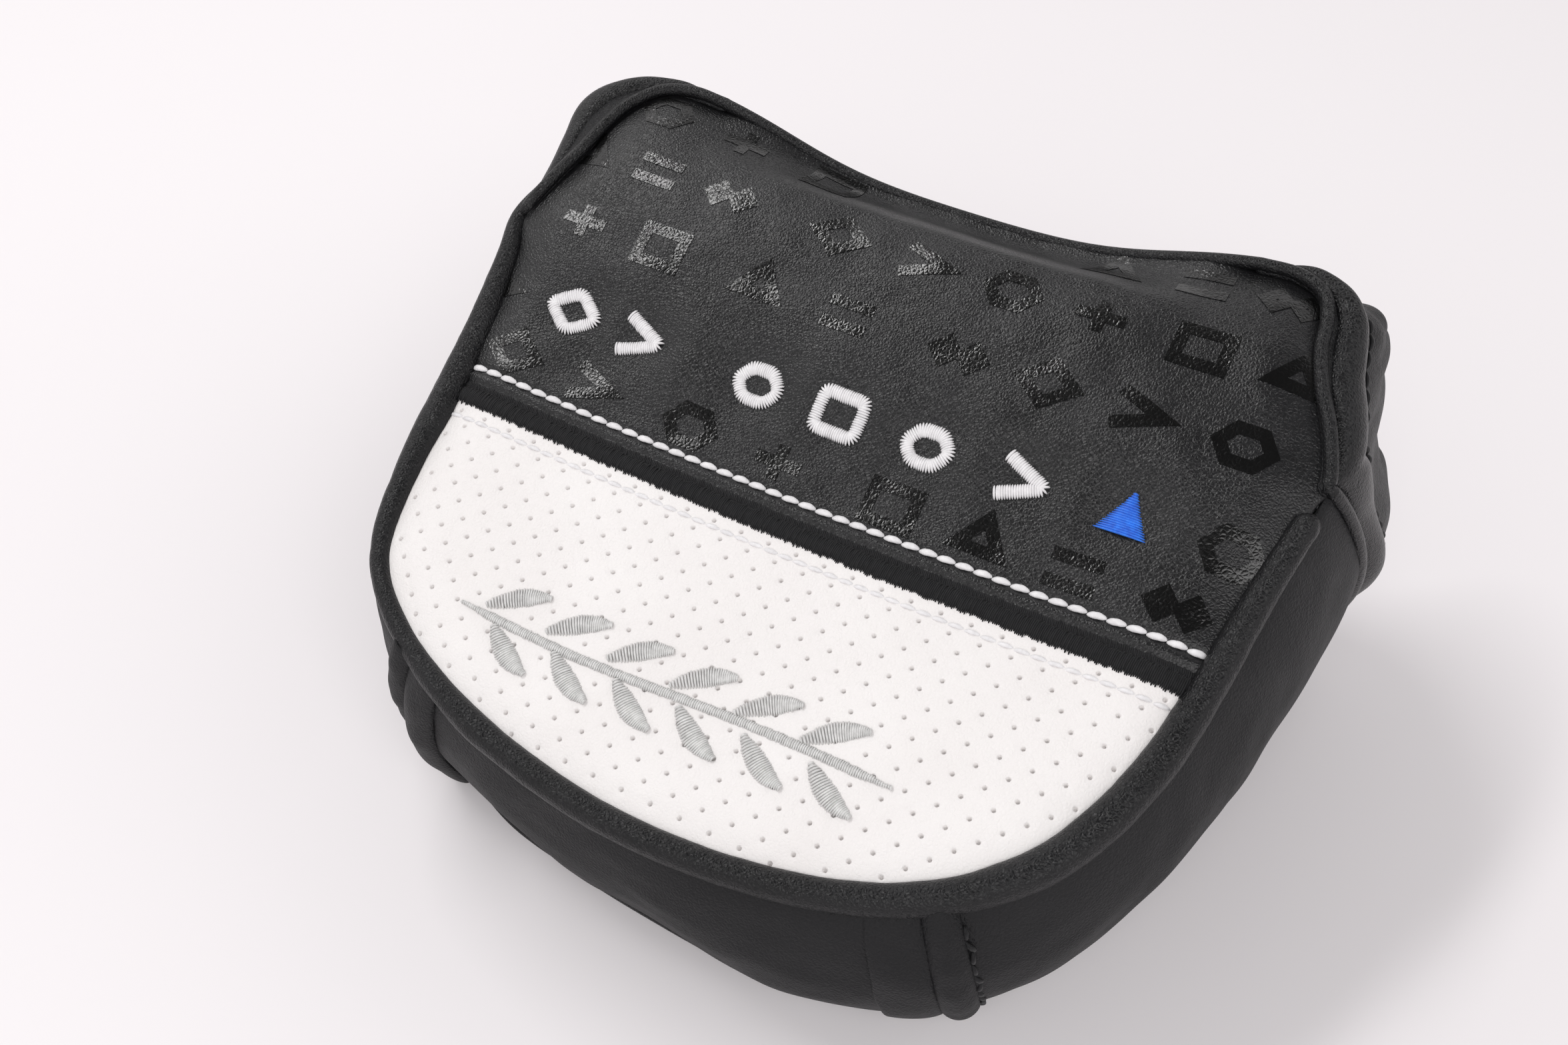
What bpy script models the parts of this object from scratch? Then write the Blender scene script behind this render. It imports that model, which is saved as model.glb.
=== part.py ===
"""Padded leather head cover for a mallet putter, modelled closed and lying on its flat bottom.

Run with: blender --background --python part.py
Axes: +Z up, -Y is the rounded front, +Y is the mouth that the putter head goes in through.
The origin is under the middle of the cover's box, on the surface that it lies on.
Lengths are written in millimetres and become metres when a mesh is made.
"""

import math

import bmesh
import bpy
import numpy as np
from mathutils import Matrix, Vector

MM = 0.001

# Overall shape. "Panel coordinates" lie in the plane of the white patch, x across, y to the mouth.
TILT = math.radians(15.0)
PATCH_HEIGHT = 42.0
DEPTH_CENTRE = 38.78
CAVITY = (0.0, 0.0, 26.0)

# Right half of the top seam, front to far corner, in panel coordinates (x, y).
# The first RIM_STATIONS of them are shared by the gusset, which ends at the last one.
SEAM = [
    (0.0, -27.0), (17.5, -25.6), (30.0, -23.0), (41.0, -18.8), (50.0, -12.8), (56.8, -5.5),
    (60.5, 1.5), (64.3, 13.0), (66.4, 26.0), (67.9, 39.0), (69.6, 50.0), (71.0, 59.5),
    (68.5, 67.0), (64.8, 74.0), (62.5, 80.5), (61.6, 86.0), (59.6, 90.6), (55.5, 93.0), (49.0, 93.6),
]
RIM_STATIONS = 12
FAR_EDGE_DIP = 1.8

# The bottom seam's right half under those stations (x, y), and how far the gusset bulges there.
BASE = [
    (0.0, -21.5), (17.6, -20.4), (30.8, -17.6), (42.0, -12.6), (50.4, -6.0), (57.0, 2.2),
    (60.8, 9.5), (64.6, 21.0), (67.5, 35.0), (69.8, 50.0), (71.0, 66.0), (71.0, 85.0),
]
BULGE = [3.2, 3.2, 3.2, 3.4, 3.9, 4.6, 5.4, 6.6, 7.6, 8.6, 9.0, 8.6]
BASE_HEIGHT = 2.4

# Crown of the top panel, in panel coordinates.
SIDE_LIFT = 3.0
FAR_RISE = 10.6
LIP_DROP = 6.6
EDGE_DROP = 1.8
EDGE_ROLL = 10.0
PIPING_SINK = 1.6

# Materials' thicknesses.
LEATHER = 1.3
FOAM = 2.4
LINING = 0.8
GAP = 0.3

# How far the top's padding stops short of the mouth, where the panel turns down.
PADDING_SETBACK = 11.5
# Lower end of a layer that begins at the front piping.
FROM_FRONT = -math.inf

PIPING_RADIUS = 2.8
PIPING_WALL = 1.0
MOUTH_PIPING_RADIUS = 1.1
PIPING_TIP_GAP = 4.5
PIPING_TIP_RADIUS = 1.8
PIPING_TAPER = 22.0
BASE_PIPING_RADIUS = 1.0
BASE_PIPING_INSET = 0.9
EDGE_SINK = 0.6

# Front decoration, in panel coordinates.
PATCH_EDGE = 25.8
BAND_WIDTH = 4.2
TOPSTITCH_Y = 30.4
PATCH_STITCH_Y = 21.2
STITCH_WIDTH = 0.9
THREAD_HEIGHT = 0.6
THREAD_LIFT = 0.35
MARK_ROW_Y = 45.5
MARK_PLACES = (-52.5, -38.5, -16.5, -1.5, 14.0, 30.5, 46.5)
MARK_WIDTH = 9.8
MARK_HEIGHT = 7.6
MARK_STROKE = 2.2

# Seams between the gusset's three lengths, as distances along the top seam from the front.
STRIP_START = 38.3
STRIP_END = 44.4
RIDGE_END = 50.2
RIDGE_HEIGHT = 1.9
RIDGE_LIFT = 0.8
RIDGE_PROFILE = np.array([0.25, 0.85, 1.0, 0.95, 0.7, 0.2])
RIDGE_STITCH_INSET = 1.7
STRIP_LEAN = 2.7
STRIP_TOP_GAP = 3.4
STRIP_FOOT_GAP = 0.2
STITCH_RADIUS = 0.3
STITCH_LIFT = 0.7

# Rolled binding on each collar, as shares of the way from the collar's seam to its hem.
BINDING_HEIGHT = 2.2
BINDING_WALL = 0.5
BINDING_LIFT = 0.8
BINDING_SPAN = (0.085, 0.235)
BINDING_PROFILE = np.array([0.35, 0.9, 1.0, 0.9, 0.6, 0.2])
BINDING_STITCH = 0.275
HEM_BAND = (0.84, 0.99)

# Closure flap and the lip that it holds to.
FLAP_HALF_WIDTH = 30.0
FLAP_TOP = 60.0
FLAP_PLANE = 93.6
FLAP_FOOT = 3.0
HINGE_HEIGHT = 2.0
LIP_BOTTOM = 47.0
LIP_HALF_WIDTH = 33.0
MAGNET_RADIUS = 6.0
MAGNET_THICKNESS = 1.5
MAGNET_SPACING = 26.0
MAGNET_HEIGHT = 54.0

BLACK_LEATHER = ("black_leather", (0.025, 0.025, 0.028), 0.55)
WHITE_LEATHER = ("white_leather", (0.84, 0.82, 0.81), 0.5)
BLACK_THREAD = ("black_thread", (0.02, 0.02, 0.022), 0.6)
WHITE_THREAD = ("white_thread", (0.86, 0.86, 0.87), 0.5)
SILVER_THREAD = ("silver_thread", (0.55, 0.55, 0.54), 0.4)
BLUE_THREAD = ("blue_thread", (0.02, 0.15, 0.72), 0.45)
FOAM_MATERIAL = ("foam", (0.30, 0.30, 0.31), 0.9)
LINING_MATERIAL = ("lining", (0.06, 0.06, 0.065), 0.95)
CORD_MATERIAL = ("piping_cord", (0.75, 0.74, 0.70), 0.8)
ELASTIC_MATERIAL = ("elastic", (0.10, 0.10, 0.10), 0.8)
MAGNET_MATERIAL = ("magnet", (0.55, 0.55, 0.57), 0.3)


# ---------------------------------------------------------------- scene and materials

def clear_scene():
    for obj in list(bpy.data.objects):
        bpy.data.objects.remove(obj)


def new_collection(name):
    collection = bpy.data.collections.new(name)
    bpy.context.scene.collection.children.link(collection)
    return collection


def material(finish):
    name, colour, roughness = finish
    found = bpy.data.materials.get(name)
    if found:
        return found
    made = bpy.data.materials.new(name)
    made.use_nodes = True
    shader = made.node_tree.nodes["Principled BSDF"]
    shader.inputs["Base Color"].default_value = (*colour, 1.0)
    shader.inputs["Roughness"].default_value = roughness
    shader.inputs["Metallic"].default_value = 1.0 if finish is MAGNET_MATERIAL else 0.0
    return made


def place(name, data, finish):
    """Puts the data in the cover's collection as one named, finished object."""
    data.materials.append(material(finish))
    obj = bpy.data.objects.new(name, data)
    bpy.data.collections["putter_head_cover"].objects.link(obj)
    return obj


# ---------------------------------------------------------------- curves and surfaces

def ramp(value):
    """Smooth step from 0 to 1."""
    t = np.clip(value, 0.0, 1.0)
    return t * t * (3.0 - 2.0 * t)


def unit(vectors):
    return vectors / np.linalg.norm(vectors, axis=-1, keepdims=True)


def spline(knots, values, at):
    """Smooth curve through values at the rising knots (a cubic Hermite with central slopes)."""
    knots = np.asarray(knots, float)
    values = np.asarray(values, float)
    at = np.clip(at, knots[0], knots[-1])
    slopes = np.gradient(values, knots, axis=0)
    i = np.clip(np.searchsorted(knots, at, side="right") - 1, 0, len(knots) - 2)
    span = knots[i + 1] - knots[i]
    t = (at - knots[i]) / span
    if values.ndim > 1:
        span, t = span[..., None], t[..., None]
    return (
        (1 + 2 * t) * (1 - t) ** 2 * values[i]
        + t * (1 - t) ** 2 * span * slopes[i]
        + t * t * (3 - 2 * t) * values[i + 1]
        + t * t * (t - 1) * span * slopes[i + 1]
    )


def lengths_along(points):
    steps = np.linalg.norm(np.diff(np.asarray(points, float), axis=0), axis=1)
    return np.concatenate([[0.0], np.cumsum(steps)])


SEAM_KNOTS = lengths_along(SEAM)
RIM_LENGTH = SEAM_KNOTS[RIM_STATIONS - 1]
SEAM_LENGTH = SEAM_KNOTS[-1]


def mirrored(knots, points):
    """The right half's knots and points with the left half before them."""
    points = np.asarray(points, float)
    left = points[:0:-1].copy()
    left[:, 0] = -left[:, 0]
    return np.concatenate([-knots[:0:-1], knots]), np.concatenate([left, points])


def seam_plan(along):
    """Panel coordinates of the top seam at a signed distance from its front middle."""
    return spline(*mirrored(SEAM_KNOTS, SEAM), np.asarray(along, float))


def seam_outward(along):
    step = 0.5
    ahead, behind = seam_plan(np.asarray(along) + step), seam_plan(np.asarray(along) - step)
    run = unit(ahead - behind)
    return np.stack([run[..., 1], -run[..., 0]], axis=-1)


OUTLINE = seam_plan(np.linspace(-SEAM_LENGTH, SEAM_LENGTH, 161))


def far_edge(x):
    """Panel y of the panel's edge along the mouth."""
    return SEAM[-1][1] - FAR_EDGE_DIP * (1.0 - (np.clip(np.abs(x) / SEAM[-1][0], 0, 1)) ** 2)


def edge_distance(x, y):
    """Distance from a point of the panel to its seam, the mouth's edge left out."""
    gaps = np.hypot(x[..., None] - OUTLINE[:, 0], y[..., None] - OUTLINE[:, 1])
    return gaps.min(axis=-1)


def crown_base(x, y):
    """Height of the top panel over the patch's plane, before its edges roll down."""
    side = SIDE_LIFT * (x / 62.0) ** 2
    rise = FAR_RISE * ramp((y - 18.0) / 66.0)
    lip = LIP_DROP * np.exp(-((x / 37.0) ** 4)) * ramp((y - 80.0) / 10.0)
    return side + rise - lip


def crown(x, y):
    closeness = np.clip(1.0 - edge_distance(x, y) / EDGE_ROLL, 0.0, 1.0)
    return crown_base(x, y) - EDGE_DROP * closeness**2


def from_panel(x, y, z):
    """Cover coordinates of a point given in panel coordinates."""
    return np.stack(
        [
            x,
            y * math.cos(TILT) - z * math.sin(TILT) - DEPTH_CENTRE,
            y * math.sin(TILT) + z * math.cos(TILT) + PATCH_HEIGHT,
        ],
        axis=-1,
    )


def top_point(x, y, lift=0.0):
    """Point on the top panel's outer surface, or lift above it."""
    x, y = np.broadcast_arrays(np.asarray(x, float), np.asarray(y, float))
    step = 0.25
    z = crown(x, y)
    slope_x = (crown(x + step, y) - crown(x - step, y)) / (2 * step)
    slope_y = (crown(x, y + step) - crown(x, y - step)) / (2 * step)
    normal = unit(np.stack([-slope_x, -slope_y, np.ones_like(x)], axis=-1))
    x, y, z = x + lift * normal[..., 0], y + lift * normal[..., 1], z + lift * normal[..., 2]
    return from_panel(x, y, z)


def rim(along, outset=0.0, rise=0.0):
    """Centre of the piping seam, moved outwards in the panel's plane and up from it."""
    base = seam_plan(along)
    plan = base + outset * seam_outward(along)
    height = crown_base(base[..., 0], base[..., 1]) - PIPING_SINK + rise
    return from_panel(plan[..., 0], plan[..., 1], height)


def gusset_point(along, down):
    """Outer surface of the gusset. down goes from 0 at the piping to 1 at the bottom seam."""
    along, down = np.broadcast_arrays(np.asarray(along, float), np.asarray(down, float))
    knots = SEAM_KNOTS[:RIM_STATIONS]
    base = spline(*mirrored(knots, BASE), along)
    bulge = spline(knots, BULGE, np.abs(along))
    top = rim(along)
    height = np.full_like(bulge, BASE_HEIGHT)
    bottom = np.stack([base[..., 0], base[..., 1] - DEPTH_CENTRE, height], axis=-1)
    outward = seam_outward(along)
    swell = bulge * np.sin(math.pi * down**0.9) ** 0.85
    point = top * (1 - down)[..., None] + bottom * down[..., None]
    point[..., 0] += swell * outward[..., 0]
    point[..., 1] += swell * outward[..., 1]
    return point


def gusset_normal(along, down):
    step_along, step_down = 0.5, 0.01
    run = gusset_point(along + step_along, down) - gusset_point(along - step_along, down)
    fall = gusset_point(along, np.clip(down + step_down, 0, 1)) - gusset_point(
        along, np.clip(down - step_down, 0, 1)
    )
    normal = unit(np.cross(fall, run))
    outward = seam_outward(along)
    facing = np.sign((normal[..., :2] * outward).sum(axis=-1, keepdims=True))
    return normal * facing


def gusset_offset(along, down, lift):
    along, down = np.broadcast_arrays(np.asarray(along, float), np.asarray(down, float))
    return gusset_point(along, down) + np.asarray(lift)[..., None] * gusset_normal(along, down)


def mirror_x(points, sign):
    flipped = np.array(points, float)
    flipped[..., 0] *= sign
    return flipped


# ---------------------------------------------------------------- meshes

def quads(rows, columns, loop=False):
    wide = columns if loop else columns - 1
    return [
        (
            i * columns + j,
            i * columns + (j + 1) % columns,
            (i + 1) * columns + (j + 1) % columns,
            (i + 1) * columns + j,
        )
        for i in range(rows - 1)
        for j in range(wide)
    ]


def face_outwards(bm, centre):
    """Turns an open sheet so that its faces look away from centre."""
    bm.normal_update()
    centre = Vector(centre) * MM
    facing = sum((f.calc_center_median() - centre).dot(f.normal) * f.calc_area() for f in bm.faces)
    if facing < 0:
        bmesh.ops.reverse_faces(bm, faces=bm.faces[:])


def finish_sheet(name, bm, thickness, finish, centre, outwards):
    face_outwards(bm, centre)
    mesh = bpy.data.meshes.new(name)
    bm.to_mesh(mesh)
    bm.free()
    mesh.shade_smooth()
    obj = place(name, mesh, finish)
    solidify = obj.modifiers.new("thickness", "SOLIDIFY")
    solidify.thickness = thickness * MM
    solidify.offset = 1.0 if outwards else -1.0
    solidify.use_even_offset = True
    solidify.thickness_clamp = 0.0
    return obj


def sheet(name, grid, thickness, finish, loop=False, centre=CAVITY, outwards=False):
    """An open surface through a grid of points, thickened inwards (or outwards)."""
    rows, columns = grid.shape[:2]
    bm = bmesh.new()
    verts = [bm.verts.new(Vector(point) * MM) for point in grid.reshape(-1, 3)]
    for face in quads(rows, columns, loop):
        bm.faces.new([verts[k] for k in face])
    return finish_sheet(name, bm, thickness, finish, centre, outwards)


def tube(name, path, radius, finish, resolution=2, swell=None):
    """A solid round cord along a path. swell scales its radius at each point."""
    curve = bpy.data.curves.new(name, "CURVE")
    curve.dimensions = "3D"
    line = curve.splines.new("POLY")
    line.points.add(len(path) - 1)
    swell = np.ones(len(path)) if swell is None else swell
    for point, place_at, share in zip(line.points, path, swell):
        point.co = (*(np.asarray(place_at) * MM), 1.0)
        point.radius = share
    curve.bevel_depth = radius * MM
    curve.bevel_resolution = resolution
    curve.use_fill_caps = True
    return place(name, curve, finish)


def pipe_grid(path, radius, sides):
    """Rings of points round a path, without twist."""
    path = np.asarray(path, float)
    run = unit(np.gradient(path, axis=0))
    side = unit(np.cross(run, (0.0, 0.0, 1.0)))
    up = np.cross(side, run)
    turn = np.linspace(0, 2 * math.pi, sides, endpoint=False)[None, :, None]
    radius = np.broadcast_to(radius, len(path))[:, None, None]
    return path[:, None] + radius * (np.cos(turn) * side[:, None] + np.sin(turn) * up[:, None])


def half_width(y, inset):
    """Half the panel's width at y, clear of the piping round its edge and inset further."""
    along = np.linspace(0.0, SEAM_LENGTH, 120)
    beyond = ramp((along - RIM_LENGTH + 3.0) / 3.0)
    clear = inset + GAP + PIPING_RADIUS + (MOUTH_PIPING_RADIUS - PIPING_RADIUS) * beyond
    plan = seam_plan(along) - clear[:, None] * seam_outward(along)
    order = np.argsort(plan[:, 1], kind="stable")
    return np.interp(y, plan[order, 1], np.maximum(plan[order, 0], 0.0))


def panel_grid(low, high, rows, columns, inset=0.0, lift=0.0):
    """Grid over the top panel from panel y low to high. Its last row bends along the mouth's edge."""
    front = seam_plan(0.0)[1] + PIPING_RADIUS + GAP + inset
    low = max(low, front + 0.05)
    last = SEAM[-1][1] - MOUTH_PIPING_RADIUS - GAP - inset
    eased = 0.5 - 0.5 * np.cos(np.linspace(0, math.pi, rows))
    y = low + (high - low) * eased
    x = np.linspace(-1, 1, columns)[None, :] * half_width(np.minimum(y, last - 0.1), inset)[:, None]
    bend = ramp((y - 60.0) / (last - 60.0))[:, None]
    y = y[:, None] + bend * (far_edge(x) - SEAM[-1][1])
    return top_point(x, y, lift)


# ---------------------------------------------------------------- top panel

def build_top():
    far = SEAM[-1][1] - MOUTH_PIPING_RADIUS - 2 * GAP
    wall = LEATHER + FOAM + LINING
    sheet("top_panel", panel_grid(PATCH_EDGE + GAP, far, 12, 13), LEATHER, BLACK_LEATHER)
    sheet("perforated_patch", panel_grid(FROM_FRONT, PATCH_EDGE, 10, 13), LEATHER, WHITE_LEATHER)
    depth = -(LEATHER + 3 * GAP)
    for name, thickness, finish in (
        ("top_foam", FOAM, FOAM_MATERIAL),
        ("top_lining", LINING, LINING_MATERIAL),
    ):
        grid = panel_grid(FROM_FRONT, far - PADDING_SETBACK, 12, 11, wall, depth)
        sheet(name, grid, thickness, finish)
        depth -= thickness + GAP


def build_band_and_stitches():
    rows = {
        "accent_band": (PATCH_EDGE, BAND_WIDTH, BLACK_THREAD),
        "topstitch": (TOPSTITCH_Y, STITCH_WIDTH, WHITE_THREAD),
        "patch_stitch": (PATCH_STITCH_Y, STITCH_WIDTH, WHITE_THREAD),
    }
    for name, (y, width, finish) in rows.items():
        grid = panel_grid(y - width / 2, y + width / 2, 2, 13, 2 * GAP, THREAD_LIFT)
        sheet(name, grid, THREAD_HEIGHT, finish, outwards=True)


def inlay(name, outline, finish, hole=None):
    """A flat outline in panel coordinates laid on the top panel as raised embroidery."""
    bm = bmesh.new()
    for ring in (outline, hole):
        if ring is None:
            continue
        verts = [bm.verts.new((x, y, 0.0)) for x, y in ring]
        for a, b in zip(verts, verts[1:] + verts[:1]):
            bm.edges.new((a, b))
    bmesh.ops.triangle_fill(bm, use_beauty=True, edges=bm.edges[:])
    for vert in bm.verts:
        vert.co = Vector(top_point(vert.co.x, vert.co.y, GAP)) * MM
    return finish_sheet(name, bm, THREAD_HEIGHT, finish, CAVITY, True)


def polygon(sides, radius_x, radius_y, start=0.0):
    turns = start + np.arange(sides) * 2 * math.pi / sides
    return np.stack([radius_x * np.cos(turns), radius_y * np.sin(turns)], axis=1)


def chevron(width, height, stroke):
    """A V that points to the right."""
    x, y = width / 2, height / 2
    return np.array([(-x, -y), (-x + stroke, -y), (x, 0), (-x + stroke, y), (-x, y), (x - stroke, 0)])


def plain_marks():
    """Outline and hole of each mark in the embroidered row, all of them plain geometric shapes."""
    rx, ry = MARK_WIDTH / 2, MARK_HEIGHT / 2
    ring = 1.0 - MARK_STROKE / ry
    diamond = polygon(4, rx, ry)
    hexagon = polygon(6, rx, ry)
    triangle = polygon(3, rx, ry * 1.15, math.pi / 2)
    arrow = chevron(MARK_WIDTH, MARK_HEIGHT, 2 * MARK_STROKE)
    box = polygon(4, rx * 1.2, ry * 1.35, math.pi / 4)
    return [
        (diamond, diamond * ring),
        (arrow, None),
        (hexagon, hexagon * ring),
        (box, box * ring),
        (hexagon, hexagon * ring),
        (arrow, None),
        (triangle, None),
    ]


def build_marks():
    shapes = plain_marks()
    for number, (outline, hole) in enumerate(shapes):
        middle = np.array([MARK_PLACES[number], MARK_ROW_Y])
        finish = BLUE_THREAD if number == len(shapes) - 1 else WHITE_THREAD
        inlay(
            f"embroidered_mark_{number + 1}",
            outline + middle,
            finish,
            None if hole is None else hole + middle,
        )


def leaf_side(side, stem_half, starts, length, breadth):
    """One long side of a sprig: the stem's edge with a leaf at each start."""
    points = []
    for x in starts:
        points += [
            (x, side * stem_half),
            (x + 0.25 * length, side * 0.75 * breadth),
            (x + 0.62 * length, side * breadth),
            (x + length, side * 0.98 * breadth),
            (x + 0.80 * length, side * 0.50 * breadth),
            (x + 0.45 * length, side * stem_half),
        ]
    return points


def build_emblem():
    """A leafy sprig in satin stitch across the patch."""
    middle, lean = np.array([-4.0, -6.5]), 0.03
    starts = np.arange(6) * 11.0 - 34.0
    above = leaf_side(1, 0.8, starts, 9.5, 6.6)
    below = leaf_side(-1, 0.8, starts + 3.0, 9.5, 6.6)
    outline = [(-37.0, 0.5), *above, (34.0, 0.6), (37.0, 0.0), (34.0, -0.6), *below[::-1], (-37.0, -0.5)]
    outline = np.array(outline)
    outline[:, 1] += lean * outline[:, 0]
    inlay("patch_emblem", outline + middle, SILVER_THREAD)


# ---------------------------------------------------------------- piping

def turn_tube_outwards(obj, path):
    """Makes a pipe's faces look away from its path."""
    mesh = obj.data
    face = mesh.polygons[0]
    nearest = min(path, key=lambda p: np.linalg.norm(np.array(face.center) - p * MM))
    if face.normal.dot(face.center - Vector(nearest * MM)) < 0:
        mesh.flip_normals()


def piping_radius(along):
    """The rim piping slims down towards its two ends."""
    left = RIM_LENGTH - PIPING_TIP_GAP - np.abs(along)
    return PIPING_TIP_RADIUS + (PIPING_RADIUS - PIPING_TIP_RADIUS) * ramp(left / PIPING_TAPER)


def build_piping():
    end = RIM_LENGTH - PIPING_TIP_GAP
    along = np.linspace(-end, end, 45)
    path = rim(along)
    grid = pipe_grid(path, piping_radius(along), 8)
    piping = sheet("front_piping", grid, PIPING_WALL, BLACK_LEATHER, loop=True)
    turn_tube_outwards(piping, path)
    along = np.linspace(-end + 1, end - 1, 39)
    core = piping_radius(along) - PIPING_WALL - GAP
    widest = core.max()
    tube("front_piping_cord", rim(along), widest, CORD_MATERIAL, resolution=1, swell=core / widest)

    right = np.concatenate([far_edge_path(7), boundary_path(11, 12)])
    path = np.concatenate([mirror_x(right[:0:-1], -1), right])
    tube("mouth_piping", path, MOUTH_PIPING_RADIUS, BLACK_LEATHER, resolution=1)

    along = np.linspace(-RIM_LENGTH + 3, RIM_LENGTH - 3, 33)
    inward = -seam_outward(along)
    path = gusset_point(along, 1.0)
    path[:, :2] += BASE_PIPING_INSET * inward
    path[:, 2] = BASE_PIPING_RADIUS + GAP
    tube("base_piping", path, BASE_PIPING_RADIUS, BLACK_LEATHER, resolution=1)


# ---------------------------------------------------------------- gusset

def gusset_grid(start, end, columns, rows, top_gap, bottom_gap, lift, lean=0.0):
    """Grid on the gusset between two places along the seam, clear of the piping and of the bottom.

    lean moves its lower end along the seam by that much.
    """
    along = np.linspace(start, end, columns)
    height = np.linalg.norm(gusset_point(along, 1.0) - gusset_point(along, 0.0), axis=1)
    down = np.linspace(0, 1, rows)[:, None]
    down = top_gap / height + down * (1 - (top_gap + bottom_gap) / height)
    return gusset_offset(along + lean * down, down, lift)


def build_gusset():
    end = RIM_LENGTH - MOUTH_PIPING_RADIUS - GAP
    # Name, thickness, finish, depth, and the gaps at the piping, the bottom and the upright seams.
    layers = [
        ("gusset", LEATHER, BLACK_LEATHER, 0.0, 3.2, 0.6, GAP),
        ("gusset_foam", FOAM, FOAM_MATERIAL, -(LEATHER + GAP), 4.2, 2.2, 5 * GAP),
        ("gusset_lining", LINING, LINING_MATERIAL, -(LEATHER + FOAM + 2 * GAP), 5.0, 3.0, 5 * GAP),
    ]
    seam = STRIP_END
    for name, thickness, finish, lift, top_gap, bottom_gap, seam_gap in layers:
        for side, first, last, columns in (
            ("left", -end, -seam - seam_gap, 9),
            ("front", -seam, seam, 11),
            ("right", seam + seam_gap, end, 9),
        ):
            grid = gusset_grid(first, last, columns, 7, top_gap, bottom_gap, lift)
            sheet(f"{name}_{side}", grid, thickness, finish)


def build_seam_strips():
    for side, sign in (("left", -1), ("right", 1)):
        start, end = sorted((sign * STRIP_START, sign * STRIP_END))
        lean = sign * STRIP_LEAN
        grid = gusset_grid(start, end, 4, 9, STRIP_TOP_GAP, STRIP_FOOT_GAP, GAP, lean)
        sheet(f"seam_strip_{side}", grid, LEATHER, BLACK_LEATHER, outwards=True)

        raised = RIDGE_LIFT + RIDGE_HEIGHT * RIDGE_PROFILE
        first, last = sign * (STRIP_END + GAP), sign * RIDGE_END
        columns = len(RIDGE_PROFILE)
        grid = gusset_grid(first, last, columns, 9, STRIP_TOP_GAP + 0.2, STRIP_FOOT_GAP, raised, lean)
        sheet(f"seam_ridge_{side}", grid, BINDING_WALL, BLACK_LEATHER)

        down = np.linspace(0.14, 0.94, 9)
        middle = sign * (RIDGE_END - RIDGE_STITCH_INSET) + lean * down
        path = gusset_offset(middle, down, RIDGE_LIFT + RIDGE_HEIGHT * 0.9 + STITCH_LIFT)
        tube(f"seam_stitch_{side}", path, STITCH_RADIUS, BLACK_THREAD, resolution=1)


# ---------------------------------------------------------------- bottom

def base_outline(inset, count):
    """Plan points of the bottom seam moved inwards, from the left end round the front to the right."""
    along = np.linspace(-RIM_LENGTH, RIM_LENGTH, count)
    plan = gusset_point(along, 1.0)[:, :2]
    run = unit(np.gradient(plan, axis=0))
    return plan - inset * np.stack([run[:, 1], -run[:, 0]], axis=1)


def bottom_sheet(name, inset, far_inset, reach, height, thickness, finish):
    """A flat layer of the bottom, built in rows across. Its middle reaches back towards the flap."""
    half = base_outline(inset, 61)[30:]
    order = np.argsort(half[:, 1], kind="stable")
    front, far = half[0, 1] + 0.05, half[-1, 1] - far_inset
    share = np.linspace(0, 1, 14) ** 1.3
    y = front + (far - front) * share
    width = np.interp(y, half[order, 1], np.maximum(half[order, 0], 0))
    x = np.linspace(-1, 1, 11)[None, :] * width[:, None]
    middle = 1.0 - ramp((np.abs(x) - FLAP_HALF_WIDTH - 2) / 26)
    y = y[:, None] + ramp((share - 0.6) / 0.4)[:, None] * reach * middle
    grid = np.stack([x, y, np.full_like(x, height)], axis=-1)
    sheet(name, grid, thickness, finish, centre=(0, 0, -50))


def build_bottom():
    inset = LEATHER + FOAM + LINING + 5 * GAP
    top = LEATHER
    bottom_sheet("bottom_panel", 2.3, 0.5, 8.2, top, LEATHER, BLACK_LEATHER)
    top += GAP + FOAM
    bottom_sheet("bottom_foam", inset, 2.0, 5.4, top, FOAM, FOAM_MATERIAL)
    top += GAP + LINING
    bottom_sheet("bottom_lining", inset, 2.0, 5.4, top, LINING, LINING_MATERIAL)


# ---------------------------------------------------------------- mouth

def far_edge_path(count):
    """The panel's edge from the middle of the mouth to just before the right far corner."""
    x = np.linspace(0.0, SEAM[-1][0], count, endpoint=False)
    y = far_edge(x)
    return from_panel(x, y, crown_base(x, y) - EDGE_SINK)


def boundary_path(count_upper, count_lower):
    """The seam between the body and the right collar: from the far top corner down to the bottom."""
    upper = np.linspace(SEAM_LENGTH, RIM_LENGTH, count_upper, endpoint=False)
    share = np.linspace(1.0, 0.0, count_upper, endpoint=False)
    down = np.linspace(0.0, 0.96, count_lower)
    corner = rim(upper, 0.0, np.minimum(share * 4, 1.0))
    return np.concatenate([corner, gusset_point(RIM_LENGTH, down)])


# The right collar's gathered hem, and the bulge between it and the seam, down the mouth (x, y, z).
HEM = [
    (51.0, 96.5, 69.5), (60.0, 100.5, 65.0), (65.5, 104.5, 59.5), (67.5, 106.0, 51.0),
    (69.5, 105.5, 41.0), (71.0, 104.0, 31.0), (67.0, 101.0, 22.0), (61.0, 97.0, 14.0),
]
COLLAR_BULGE = [
    (59.0, 93.0, 73.0), (70.0, 93.0, 71.5), (75.0, 95.0, 65.5), (77.0, 96.0, 57.0),
    (82.5, 94.0, 46.0), (85.0, 94.0, 35.0), (75.5, 94.0, 24.0), (66.5, 92.0, 12.0),
]

COLLAR_INSIDE = (38.0, 28.0, 35.0)


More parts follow.
